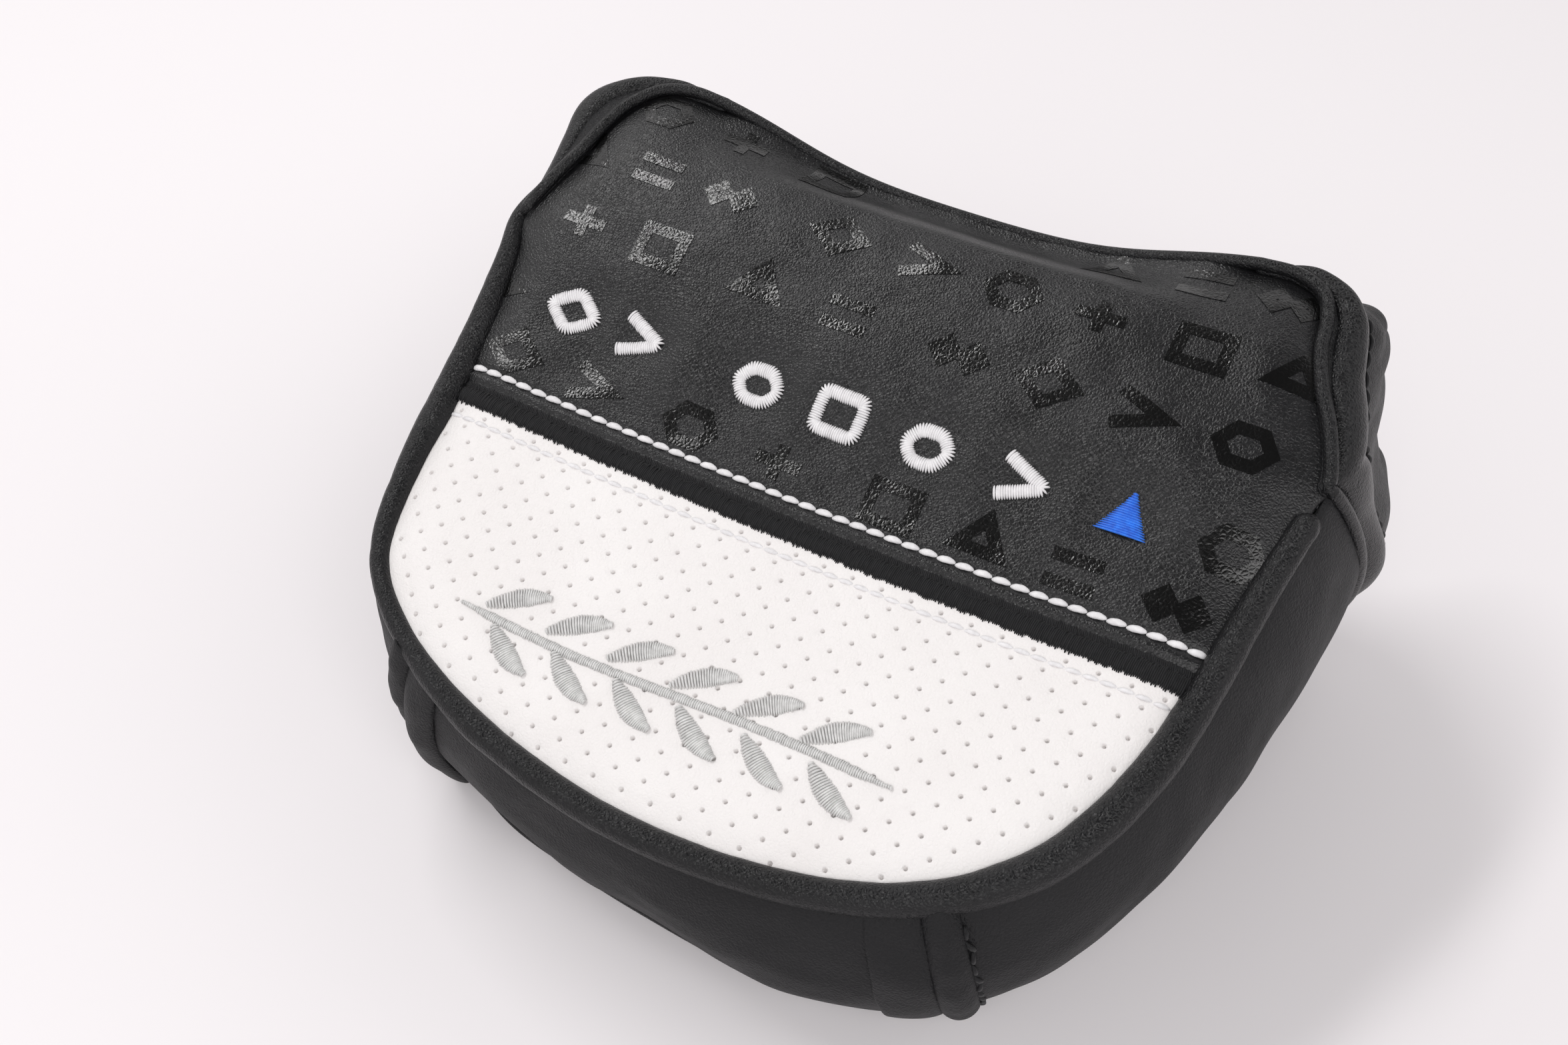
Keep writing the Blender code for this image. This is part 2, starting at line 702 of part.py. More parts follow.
def collar_point(place_at, across):
    """The right collar's outer surface.

    place_at goes from 0 to 1 down the mouth, across from 0 at the seam to 1 at the hem.
    """
    place_at, across = np.asarray(place_at, float), np.asarray(across, float)
    place_at, across = np.broadcast_arrays(place_at, across)
    path = boundary_path(12, 14)
    knots = lengths_along(path)
    start = spline(knots, path, place_at * knots[-1])
    knots = np.linspace(0, 1, len(HEM))
    shift = np.array([0.0, DEPTH_CENTRE, 0.0])
    hem = spline(knots, np.array(HEM) - shift, place_at)
    bulge = spline(knots, np.array(COLLAR_BULGE) - shift, place_at)
    across = across[..., None]
    return start * (1 - across) ** 2 + 2 * bulge * across * (1 - across) + hem * across**2


def collar_offset(place_at, across, lift):
    """Points lift outside the right collar's outer surface."""
    step = 0.01
    down = collar_point(place_at + step, across) - collar_point(place_at - step, across)
    out = collar_point(place_at, across + step) - collar_point(place_at, across - step)
    normal = unit(np.cross(down, out))
    point = collar_point(place_at, across)
    facing = np.sign((normal * (point - np.array(COLLAR_INSIDE))).sum(axis=-1, keepdims=True))
    return point + np.asarray(lift)[..., None] * normal * facing


def collar_grid(first, last, rows, start, end, columns, lift=0.0):
    down = np.linspace(first, last, rows)[:, None]
    across = np.linspace(start, end, columns)[None, :]
    return collar_offset(*np.broadcast_arrays(down, across), lift)


def build_collars():
    depth = -(LEATHER + GAP)
    inner = depth - LINING - GAP
    layers = {
        "collar": (collar_grid(0.03, 0.985, 15, 0.09, 1.0, 6), LEATHER, BLACK_LEATHER),
        "collar_elastic": (collar_grid(0.06, 0.95, 15, *HEM_BAND, 2, depth), LINING, ELASTIC_MATERIAL),
        "collar_lining": (collar_grid(0.08, 0.93, 13, 0.30, 0.96, 4, inner), LINING, LINING_MATERIAL),
        "collar_binding": (binding_grid(), BINDING_WALL, BLACK_LEATHER),
    }
    stitch_path = collar_offset(np.linspace(0.06, 0.94, 16), np.full(16, BINDING_STITCH), STITCH_LIFT + 0.05)
    for side, sign in (("left", -1), ("right", 1)):
        centre = (sign * COLLAR_INSIDE[0], *COLLAR_INSIDE[1:])
        for name, (grid, thickness, finish) in layers.items():
            sheet(f"{name}_{side}", mirror_x(grid, sign), thickness, finish, centre=centre)
        path = mirror_x(stitch_path, sign)
        tube(f"binding_stitch_{side}", path, STITCH_RADIUS, BLACK_THREAD, resolution=1)


def binding_grid():
    """The rolled strip that is sewn over the seam between the body and the right collar."""
    down = np.linspace(0.04, 0.97, 16)[:, None]
    across = np.linspace(*BINDING_SPAN, len(BINDING_PROFILE))[None, :]
    raised = BINDING_HEIGHT * BINDING_PROFILE * ramp(down / 0.3 + 0.2)
    return collar_offset(*np.broadcast_arrays(down, across), BINDING_LIFT + raised)


# ---------------------------------------------------------------- closure

def upright_sheet(name, half_low, half_high, low, high, y, thickness, finish):
    """A sheet across the mouth, its outer face at y. Its upper corners are rounded."""
    z = low + (high - low) * np.linspace(0, 1, 9)[:, None]
    share = (z - low) / (high - low)
    half = half_low + (half_high - half_low) * share
    half = half * (1 - 0.22 * np.clip((share - 0.75) / 0.25, 0, 1) ** 2)
    x = np.linspace(-1, 1, 7)[None, :] * half
    grid = np.stack([x, np.full_like(x, y - DEPTH_CENTRE), np.broadcast_to(z, x.shape)], axis=-1)
    return sheet(name, grid, thickness, finish, centre=(0, 0, 30))


def lip_sheet(name, y, bottom, thickness, finish):
    """A sheet that hangs from the mouth's upper edge, its outer face at y."""
    share = np.linspace(0, 1, 6)[:, None]
    x = np.linspace(-1, 1, 13)[None, :] * (LIP_HALF_WIDTH + 13 * (1 - share) ** 2)
    edge = far_edge(x)
    top = from_panel(x, edge, crown_base(x, edge) - EDGE_SINK)[..., 2] - 2.4
    z = top + (bottom + 3 * (x / LIP_HALF_WIDTH) ** 2 - top) * share
    grid = np.stack([x, np.full_like(x, y - DEPTH_CENTRE), z], axis=-1)
    sheet(name, grid, thickness, finish, centre=(0, 0, 30))


def magnet(name, x, y, z):
    bpy.ops.mesh.primitive_cylinder_add(
        vertices=20,
        radius=MAGNET_RADIUS * MM,
        depth=MAGNET_THICKNESS * MM,
        location=(x * MM, (y - DEPTH_CENTRE) * MM, z * MM),
        rotation=(math.pi / 2, 0, 0),
    )
    obj = bpy.context.object
    obj.name = name
    for collection in list(obj.users_collection):
        collection.objects.unlink(obj)
    bpy.data.collections["putter_head_cover"].objects.link(obj)
    obj.data.materials.append(material(MAGNET_MATERIAL))
    return obj


def build_closure():
    """The flap that closes the mouth and the lip inside it, each with two magnets behind its leather."""
    behind = LEATHER + GAP + MAGNET_THICKNESS / 2
    lining = LEATHER + 2 * GAP + MAGNET_THICKNESS
    lip_plane = FLAP_PLANE - lining - LINING - 2 * GAP
    half, top = FLAP_HALF_WIDTH, FLAP_TOP
    hinged = [
        upright_sheet("closure_flap", half + 2, half, FLAP_FOOT, top, FLAP_PLANE, LEATHER, BLACK_LEATHER),
        upright_sheet(
            "flap_lining", half, half - 2, FLAP_FOOT + 2, top - 1.5, FLAP_PLANE - lining,
            LINING, LINING_MATERIAL,
        ),
    ]
    lip_sheet("upper_lip", lip_plane, LIP_BOTTOM, LEATHER, BLACK_LEATHER)
    lip_sheet("lip_lining", lip_plane - lining, LIP_BOTTOM + 1, LINING, LINING_MATERIAL)
    for side, x in (("left", -MAGNET_SPACING / 2), ("right", MAGNET_SPACING / 2)):
        hinged.append(magnet(f"flap_magnet_{side}", x, FLAP_PLANE - behind, MAGNET_HEIGHT))
        magnet(f"lip_magnet_{side}", x, lip_plane - behind, MAGNET_HEIGHT)
    hang_on_hinge(hinged)


def hang_on_hinge(objects):
    """Parents the flap's pieces to an empty on the line that the flap folds along."""
    axis = Vector((0, FLAP_PLANE - LEATHER / 2 - DEPTH_CENTRE, HINGE_HEIGHT)) * MM
    hinge = bpy.data.objects.new("flap_hinge", None)
    hinge.location = axis
    bpy.data.collections["putter_head_cover"].objects.link(hinge)
    for obj in objects:
        obj.parent = hinge
        obj.matrix_parent_inverse = Matrix.Translation(-axis)


def main():
    clear_scene()
    new_collection("putter_head_cover")
    build_top()
    build_band_and_stitches()
    build_marks()
    build_emblem()
    build_piping()
    build_gusset()
    build_seam_strips()
    build_bottom()
    build_collars()
    build_closure()


main()
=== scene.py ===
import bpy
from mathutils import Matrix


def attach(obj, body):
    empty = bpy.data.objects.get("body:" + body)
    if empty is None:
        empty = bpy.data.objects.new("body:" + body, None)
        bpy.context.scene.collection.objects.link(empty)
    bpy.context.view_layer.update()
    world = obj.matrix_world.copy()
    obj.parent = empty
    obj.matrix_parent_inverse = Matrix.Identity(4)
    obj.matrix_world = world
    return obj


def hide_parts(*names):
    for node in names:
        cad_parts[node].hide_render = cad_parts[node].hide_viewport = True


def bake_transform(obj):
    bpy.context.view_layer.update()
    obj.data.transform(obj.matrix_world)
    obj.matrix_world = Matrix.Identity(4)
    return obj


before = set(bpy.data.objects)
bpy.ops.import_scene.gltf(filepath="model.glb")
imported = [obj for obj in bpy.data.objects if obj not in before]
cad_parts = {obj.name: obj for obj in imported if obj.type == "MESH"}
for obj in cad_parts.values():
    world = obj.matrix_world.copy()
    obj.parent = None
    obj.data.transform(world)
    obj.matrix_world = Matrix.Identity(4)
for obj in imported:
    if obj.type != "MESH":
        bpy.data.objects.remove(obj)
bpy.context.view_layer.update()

# Looks of the padded leather putter head cover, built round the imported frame.
# Lengths are millimetres until a mesh is made. Surfaces repeat the formulas of the CAD source.

import math

import bmesh
import bpy
import numpy as np
from mathutils import Vector
from mathutils.geometry import delaunay_2d_cdt

MM = 0.001

# ---------------------------------------------------------------- the CAD's shape

# The panel's plane: its slope, its height at the patch, and the depth that lies over the origin.
TILT, PATCH_HEIGHT, DEPTH_CENTRE = math.radians(15.0), 42.0, 38.78
# Right half of the seam round the top, in that plane, from the middle of the front to that of the mouth.
# Its first RIM_STATIONS points carry the rim piping and the gusset.
SEAM = [
    (0.0, -27.0), (17.5, -25.6), (30.0, -23.0), (41.0, -18.8), (50.0, -12.8), (56.8, -5.5),
    (60.5, 1.5), (64.3, 13.0), (66.4, 26.0), (67.9, 39.0), (69.6, 50.0), (71.0, 59.5),
    (68.5, 67.0), (64.8, 74.0), (62.5, 80.5), (61.6, 86.0), (59.6, 90.6), (55.5, 93.0), (49.0, 93.6),
]
RIM_STATIONS = 12
# How far the mouth's edge dips in its middle, and how far before it the padding ends.
FAR_EDGE_DIP, PADDING_SETBACK = 1.8, 11.5
# Lower end of a layer that begins at the front piping.
FROM_FRONT = -math.inf
# The padding lifts the middle of the black panel by PAD_SWELL.
PAD_SWELL, PAD_HALF_WIDTH, PAD_START, PAD_END = 2.2, 68.0, 30.0, 88.0
# Right half of the bottom's edge, its height, and how far the gusset bulges, station by station.
BASE = [
    (0.0, -21.5), (17.6, -20.4), (30.8, -17.6), (42.0, -12.6), (50.4, -6.0), (57.0, 2.2),
    (60.8, 9.5), (64.6, 21.0), (67.5, 35.0), (69.8, 50.0), (71.0, 66.0), (71.0, 85.0),
]
BULGE = [3.2, 3.2, 3.2, 3.4, 3.9, 4.6, 5.4, 6.6, 7.6, 8.6, 9.0, 8.6]
BASE_HEIGHT = 2.4
# The crown: how far its sides and its far end rise and its lip drops, and where each begins and reaches.
SIDE_LIFT, FAR_RISE, LIP_DROP = 3.0, 10.6, 6.6
SIDE_SPAN, RISE_START, RISE_REACH, LIP_SPAN, LIP_START, LIP_REACH = 62.0, 18.0, 66.0, 37.0, 80.0, 10.0
# How far the panel rolls down by its seam, over what distance, and how deep the piping sits.
EDGE_DROP, EDGE_ROLL, PIPING_SINK = 1.8, 10.0, 1.6
# Thickness of each layer, and the gap between two.
LEATHER, FOAM, LINING, GAP = 1.3, 2.4, 0.8, 0.3
MOUTH_PIPING_RADIUS, BASE_PIPING_RADIUS = 1.1, 1.0
# Radius of the rim piping along the seam: pressed thin at the front left, slim towards its ends.
PIPING_SIZES = [
    (-139, 1.1), (-126, 1.7), (-110, 2.4), (-90, 2.7), (-74, 2.1), (-60, 1.6), (-47, 1.7), (-34, 2.1),
    (-15, 2.2), (20, 2.25), (42, 2.4), (60, 2.7), (84, 2.7), (104, 2.4), (118, 2.1), (127, 1.9),
]
PIPING_LEFT_END, PIPING_RIGHT_END = -138.5, 125.5
# Slack of the sewn seam: (place along it, how far it stands out, reach).
SEAM_SLACK = ((-62.0, 1.9, 14.0), (-153.0, 3.3, 11.0))
# The gusset's rough depth, and slack of its middle and of its foot, likewise.
GUSSET_DEPTH = 40
GUSSET_SLACK = ((40.0, 3.4, 30.0), (-70.0, 1.2, 24.0))
FOOT_SLACK = ((36.0, 2.6, 26.0), (-46.0, 1.6, 14.0))
# Places up the panel: edges of the patch and of the black leather, rows of stitches, row of marks.
PATCH_EDGE, TOP_EDGE = 25.8, 26.3
TOPSTITCH_Y, PATCH_STITCH_Y, MARK_ROW_Y = 30.4, 21.2, 45.5
MARK_PLACES = (-52.5, -38.5, -16.5, -1.5, 14.0, 30.5, 46.5)
MARK_WIDTH, MARK_HEIGHT, MARK_STROKE = 9.8, 7.6, 2.2
# Places of a seam's strip and fold along the gusset, the fold's height, and their lean down the wall.
STRIP_START, STRIP_END, RIDGE_END, RIDGE_HEIGHT, STRIP_LEAN = 38.3, 44.4, 50.2, 1.9, 2.7
BINDING_HEIGHT = 2.2
# The closure: the flap's plane counts from the same place as the seam's depths.
FLAP_HALF_WIDTH, FLAP_TOP, FLAP_PLANE, FLAP_CORNER = 30.0, 60.0, 93.6, 0.22
LIP_BOTTOM, LIP_HALF_WIDTH = 47.0, 33.0
MAGNET_THICKNESS = 1.5
# The right collar's hem, and the points that its leather bulges towards, from its top to its foot.
HEM = [
    (51.0, 96.5, 69.5), (60.0, 100.5, 65.0), (65.5, 104.5, 59.5), (67.5, 106.0, 51.0),
    (69.5, 105.5, 41.0), (71.0, 104.0, 31.0), (67.0, 101.0, 22.0), (61.0, 97.0, 14.0),
]
COLLAR_BULGE = [
    (59.0, 93.0, 73.0), (70.0, 93.0, 71.5), (75.0, 95.0, 65.5), (77.0, 96.0, 57.0),
    (82.5, 94.0, 46.0), (85.0, 94.0, 35.0), (75.5, 94.0, 24.0), (66.5, 92.0, 12.0),
]
# Uneven leather: (height of the lumps, their size, seed).
LEATHER_START = 27.0
LEATHER_LUMPS, PATCH_LUMPS = ((0.16, 27, 1), (0.05, 9, 2)), (0.05, 20, 3)
GUSSET_LUMPS, COLLAR_LUMPS = ((0.28, 24, 21), (0.06, 8, 22)), (0.35, 14, 7)
STRIP_LUMPS, RIDGE_LUMPS, ROLL_LUMPS = (0.10, 9, 31), (0.08, 7, 33), (0.06, 8, 51)
# What sewing does to the top along its rows: (place of the dip or rise, height, breadth).
ROW_PULLS = ((TOPSTITCH_Y, -0.32, 0.8), (28.8, 0.42, 0.75), (PATCH_STITCH_Y, -0.16, 0.7))
# What embroidery does: the dip under a mark, the welt beside it, and the dip under the sprig.
MARK_DIP, MARK_WELT, EMBLEM_DIP = 0.62, 0.22, 0.25
DIP_SPREAD, WELT_SPREAD, WELT_SHIFT = (7.0, 5.6), (2.4, 5.8), 8.0
EMBLEM_MIDDLE, EMBLEM_LEAN = np.array([-4.0, -6.5]), 0.03
# Slack of each collar: (place from its top to its foot, how far it stands out, reach).
COLLAR_SLACK = {
    1: ((0.17, 3.0, 0.09), (0.54, -2.6, 0.09)),
    -1: ((0.20, 9.0, 0.13),),
}
# A collar's rough size, the number of its gathers, the depth of its puffs and of its fine creases,
# and the mean of a puff of depth 1.
COLLAR_LENGTH, COLLAR_DEPTH = 90, 30
GATHERS, PUFF_DEPTH, CREASE_DEPTH, PUFF_MEAN = 8.6, 1.9, 0.25, 0.62
# Points inside the collar and inside the cover, which tell a sheet's outer side.
COLLAR_INSIDE = np.array([38.0, 28.0, 35.0])
INSIDE = np.array([0.0, 0.0, 26.0])


def ramp(value):
    t = np.clip(value, 0.0, 1.0)
    return t * t * (3.0 - 2.0 * t)


def unit(vectors):
    return vectors / np.maximum(np.linalg.norm(vectors, axis=-1, keepdims=True), 1e-12)


def floats(*values):
    return np.broadcast_arrays(*(np.asarray(value, float) for value in values))


def sideways(run):
    """The direction to the left of each direction in the plane."""
    return np.stack([-run[..., 1], run[..., 0]], axis=-1)


def spline(knots, values, at):
    knots, values = np.asarray(knots, float), np.asarray(values, float)
    at = np.clip(at, knots[0], knots[-1])
    slopes = np.gradient(values, knots, axis=0)
    i = np.clip(np.searchsorted(knots, at, side="right") - 1, 0, len(knots) - 2)
    span = knots[i + 1] - knots[i]
    t = (at - knots[i]) / span
    if values.ndim > 1:
        span, t = span[..., None], t[..., None]
    return (
        (1 + 2 * t) * (1 - t) ** 2 * values[i]
        + t * (1 - t) ** 2 * span * slopes[i]
        + t * t * (3 - 2 * t) * values[i + 1]
        + t * t * (t - 1) * span * slopes[i + 1]
    )


def lengths_along(points):
    steps = np.linalg.norm(np.diff(np.asarray(points, float), axis=0), axis=1)
    return np.concatenate([[0.0], np.cumsum(steps)])


SEAM_KNOTS = lengths_along(SEAM)
RIM_LENGTH = SEAM_KNOTS[RIM_STATIONS - 1]
SEAM_LENGTH = SEAM_KNOTS[-1]


def mirrored(knots, points):
    points = np.asarray(points, float)
    left = points[:0:-1].copy()
    left[:, 0] = -left[:, 0]
    return np.concatenate([-knots[:0:-1], knots]), np.concatenate([left, points])


SEAM_LINE = mirrored(SEAM_KNOTS, SEAM)


def slack(at, waves):
    """Sum of smooth bumps, each given by its place, height and reach."""
    return sum(height * np.exp(-(((at - place) / reach) ** 2)) for place, height, reach in waves)


def outward(line, along):
    step = 0.5
    return -sideways(unit(line(along + step) - line(along - step)))


def drawn_seam(along):
    return spline(*SEAM_LINE, along)


def seam_plan(along):
    along = np.asarray(along, float)
    return drawn_seam(along) + slack(along, SEAM_SLACK)[..., None] * outward(drawn_seam, along)


def seam_outward(along):
    return outward(seam_plan, np.asarray(along, float))


def piping_radius(along):
    sizes = np.array(PIPING_SIZES)
    return spline(sizes[:, 0], sizes[:, 1], np.asarray(along, float))


def far_edge(x):
    return SEAM[-1][1] - FAR_EDGE_DIP * (1.0 - (np.clip(np.abs(x) / SEAM[-1][0], 0, 1)) ** 2)


# Distance to the seam, tabulated once over the panel and read between its cells.
TABLE_STEP, TABLE_LOW, TABLE_SIZE = 0.5, np.array([-80.0, -36.0]), (322, 282)


def distance_table():
    outline = seam_plan(np.linspace(-SEAM_LENGTH, SEAM_LENGTH, 281))
    start, run = outline[:-1], np.diff(outline, axis=0)
    square = (run**2).sum(axis=1)
    x, y = (low + TABLE_STEP * np.arange(size) for low, size in zip(TABLE_LOW, TABLE_SIZE))
    found = np.empty((len(y), len(x)))
    for row, height in enumerate(y):
        gap = np.stack([x, np.full_like(x, height)], axis=1)[:, None] - start
        share = np.clip((gap * run).sum(axis=-1) / square, 0, 1)
        found[row] = np.linalg.norm(gap - share[..., None] * run, axis=-1).min(axis=1)
    return found


DISTANCES = distance_table()


def edge_distance(x, y):
    u = np.clip((x - TABLE_LOW[0]) / TABLE_STEP, 0, DISTANCES.shape[1] - 1.001)
    v = np.clip((y - TABLE_LOW[1]) / TABLE_STEP, 0, DISTANCES.shape[0] - 1.001)
    i, j = u.astype(int), v.astype(int)
    u, v = u - i, v - j
    low = DISTANCES[j, i] * (1 - u) + DISTANCES[j, i + 1] * u
    high = DISTANCES[j + 1, i] * (1 - u) + DISTANCES[j + 1, i + 1] * u
    return low * (1 - v) + high * v


def crown_base(x, y):
    side = SIDE_LIFT * (x / SIDE_SPAN) ** 2
    rise = FAR_RISE * ramp((y - RISE_START) / RISE_REACH)
    lip = LIP_DROP * np.exp(-((x / LIP_SPAN) ** 4)) * ramp((y - LIP_START) / LIP_REACH)
    return side + rise - lip


def wander(points, size, seed, waves=20):
    """Smooth random field over 2-D or 3-D points, about -2 to 2, with lumps of the given size."""
    random = np.random.default_rng(seed)
    points = np.asarray(points, float)
    total = np.zeros(points.shape[:-1])
    for _ in range(waves):
        way = unit(random.normal(size=points.shape[-1]))
        number = 2 * math.pi / (size * random.uniform(0.7, 1.5))
        total += np.sin(number * (points @ way) + random.uniform(0, 2 * math.pi))
    return total * math.sqrt(2 / waves)


def lumps(across, down, *layers):
    """Sum of smooth random fields, each given by its height, the size of its lumps and its seed."""
    place = np.stack([across, down], axis=-1)
    return sum(height * wander(place, size, seed) for height, size, seed in layers)


def spot(x, y, middle, spread):
    """A soft spot of height 1."""
    return np.exp(-(((x - middle[0]) / spread[0]) ** 2 + ((y - middle[1]) / spread[1]) ** 2))


def relief(x, y):
    """What sewing and embroidery do to the crown: soft lumps, pulled seams and puckers."""
    leather = ramp((y - LEATHER_START) / 6.0)
    found = leather * lumps(x, y, *LEATHER_LUMPS) + (1 - leather) * lumps(x, y, PATCH_LUMPS)
    padded = ramp((y - PAD_START) / 30.0) * ramp((PAD_END - y) / 18.0)
    found = found + PAD_SWELL * (1 - (x / PAD_HALF_WIDTH) ** 4) * padded
    for middle, height, breadth in ROW_PULLS:
        found = found + height * np.exp(-(((y - middle) / breadth) ** 2))
    for middle in MARK_PLACES:
        found = found - MARK_DIP * spot(x, y, (middle, MARK_ROW_Y), DIP_SPREAD)
        found = found + MARK_WELT * spot(x, y, (middle + WELT_SHIFT, MARK_ROW_Y), WELT_SPREAD)
    from_middle = (x - EMBLEM_MIDDLE[0], y - EMBLEM_MIDDLE[1] + EMBLEM_LEAN * x)
    reach = sum((place / half) ** power for place, half, power in zip(from_middle, (40, 8), (6, 4)))
    return found - EMBLEM_DIP * np.exp(-reach)


def crown(x, y):
    closeness = np.clip(1.0 - edge_distance(x, y) / EDGE_ROLL, 0.0, 1.0)
    return crown_base(x, y) - EDGE_DROP * closeness**2 + relief(x, y)


def from_panel(x, y, z):
    return np.stack(
        [
            x,
            y * math.cos(TILT) - z * math.sin(TILT) - DEPTH_CENTRE,
            y * math.sin(TILT) + z * math.cos(TILT) + PATCH_HEIGHT,
        ],
        axis=-1,
    )


def top_frame(x, y):
    """Points of the top panel and the directions straight out of it."""
    x, y = floats(x, y)
    step = 0.25
    slope_x = (crown(x + step, y) - crown(x - step, y)) / (2 * step)
    slope_y = (crown(x, y + step) - crown(x, y - step)) / (2 * step)
    normal = unit(np.stack([-slope_x, -slope_y, np.ones_like(x)], axis=-1))
    out = from_panel(normal[..., 0], normal[..., 1], normal[..., 2]) - from_panel(0.0, 0.0, 0.0)
    return from_panel(x, y, crown(x, y)), out


def top_point(x, y, lift=0.0):
    point, normal = top_frame(x, y)
    return point + np.asarray(lift)[..., None] * normal


def rim(along, outset=0.0, rise=0.0):
    base = seam_plan(along)
    plan = base + np.asarray(outset)[..., None] * seam_outward(along)
    return from_panel(plan[..., 0], plan[..., 1], crown_base(base[..., 0], base[..., 1]) - PIPING_SINK + rise)


def gusset_point(along, down):
    along, down = floats(along, down)
    knots = SEAM_KNOTS[:RIM_STATIONS]
    base = spline(*mirrored(knots, BASE), along)
    bulge = spline(knots, BULGE, np.abs(along)) + slack(along, GUSSET_SLACK)
    top = rim(along)
    bottom = np.stack([base[..., 0], base[..., 1] - DEPTH_CENTRE, np.full_like(bulge, BASE_HEIGHT)], axis=-1)
    away = seam_outward(along)
    swell = bulge * np.sin(math.pi * np.clip(down, 0, 1) ** 0.95) ** 0.8
    point = top * (1 - down)[..., None] + bottom * down[..., None]
    point[..., :2] += (swell + slack(along, FOOT_SLACK) * down)[..., None] * away
    return point


def gusset_normal(along, down):
    step_along, step_down = 0.5, 0.01
    run = gusset_point(along + step_along, down) - gusset_point(along - step_along, down)
    high, low = np.clip(down + step_down, 0, 1), np.clip(down - step_down, 0, 1)
    fall = gusset_point(along, high) - gusset_point(along, low)
    normal = unit(np.cross(fall, run))
    facing = np.sign((normal[..., :2] * seam_outward(along)).sum(axis=-1, keepdims=True))
    return normal * facing


def gusset_offset(along, down, lift):
    along, down = floats(along, down)
    return gusset_point(along, down) + np.asarray(lift)[..., None] * gusset_normal(along, down)


def gusset_height(along):
    return np.linalg.norm(gusset_point(along, 1.0) - gusset_point(along, 0.0), axis=-1)


def mirror_x(points, sign):
    flipped = np.array(points, float)
    flipped[..., 0] *= sign
    return flipped


def side_reach(y, extra, sign):
    """How far the panel reaches to one side at y, clear of both pipings by extra."""
    along = np.linspace(0.0, SEAM_LENGTH, 400) * sign
    beyond = ramp((np.abs(along) - RIM_LENGTH + 3.0) / 3.0)
    clear = piping_radius(along) * (1 - beyond) + MOUTH_PIPING_RADIUS * beyond + extra
    plan = seam_plan(along) - clear[:, None] * seam_outward(along)
    order = np.argsort(plan[:, 1], kind="stable")
    return np.interp(y, plan[order, 1], np.maximum(sign * plan[order, 0], 0.0))


def row_ends(y, extra):
    """Both ends of a row across the panel at y, clear of its pipings by extra."""
    return -side_reach(y, extra, -1), side_reach(y, extra, 1)


def on_panel(x, y, extra):
    """Which places lie on the panel, clear of its pipings by extra."""
    between = (x < side_reach(y, extra, 1)) & (-x < side_reach(y, extra, -1))
    front = seam_plan(0.0)[1] + piping_radius(0.0) + extra
    return between & (y > front) & (y < far_edge(x) - MOUTH_PIPING_RADIUS - extra)


def panel_places(low, high, rows, columns, extra):
    """Panel coordinates of a grid over the top. Its last rows bend along the mouth's edge."""
    front = seam_plan(0.0)[1] + piping_radius(0.0) + extra
    last = SEAM[-1][1] - MOUTH_PIPING_RADIUS - extra
    low, high = max(low, front + 0.05), min(high, last)
    y = np.linspace(low, high, rows)
    if low < 0:
        y = low + (high - low) * (1 - np.cos(np.linspace(0, math.pi / 2, rows)))
    reach = [side_reach(np.minimum(y, last - 0.1), extra, sign)[:, None] for sign in (-1, 1)]
    share = np.linspace(0, 1, columns)[None, :]
    x = -reach[0] * (1 - share) + reach[1] * share
    bend = ramp((y - 60.0) / (last - 60.0))[:, None]
    return x, y[:, None] + bend * (far_edge(x) - SEAM[-1][1])


def far_edge_path(count):
    x = np.linspace(0.0, SEAM[-1][0], count, endpoint=False)
    y = far_edge(x)
    return from_panel(x, y, crown_base(x, y) - 0.6)


def boundary_path(count_upper, count_lower, sign=1):
    upper = np.linspace(SEAM_LENGTH, RIM_LENGTH, count_upper, endpoint=False)
    share = np.linspace(1.0, 0.0, count_upper, endpoint=False)
    down = np.linspace(0.0, 0.96, count_lower)
    corner = rim(sign * upper, 0.0, np.minimum(share * 4, 1.0))
    return np.concatenate([corner, gusset_point(sign * RIM_LENGTH, down)])


# The edge that each collar hangs from, both drawn on the right.
COLLAR_SEAMS = {sign: mirror_x(boundary_path(24, 20, sign), sign) for sign in (1, -1)}


def collar_point(place_at, across, sign):
    """Place on a collar, as if it were the right one. sign is -1 for the left one's shape."""
    place_at, across = floats(place_at, across)
    seam = COLLAR_SEAMS[sign]
    seam_knots = lengths_along(seam)
    start = spline(seam_knots, seam, place_at * seam_knots[-1])
    knots = np.linspace(0, 1, len(HEM))
    shift = np.array([0.0, DEPTH_CENTRE, 0.0])
    hem = spline(knots, np.array(HEM) - shift, place_at)
    bulge = spline(knots, np.array(COLLAR_BULGE) - shift, place_at)
    at = across[..., None]
    point = start * (1 - at) ** 2 + 2 * bulge * at * (1 - at) + hem * at**2
    middle = np.sin(math.pi * np.clip(across, 0, 1) ** 0.75) ** 0.8
    point[..., 0] += slack(place_at, COLLAR_SLACK[sign]) * middle
    return point


def collar_normal(place_at, across, sign):
    step = 0.01
    down = collar_point(place_at + step, across, sign) - collar_point(place_at - step, across, sign)
    out = collar_point(place_at, across + step, sign) - collar_point(place_at, across - step, sign)
    normal = unit(np.cross(down, out))
    point = collar_point(place_at, across, sign)
    facing = np.sign((normal * (point - COLLAR_INSIDE)).sum(axis=-1, keepdims=True))
    return normal * facing


def collar_offset(place_at, across, lift, sign):
    place_at, across = floats(place_at, across)
    lift = np.asarray(lift)[..., None]
    return collar_point(place_at, across, sign) + lift * collar_normal(place_at, across, sign)


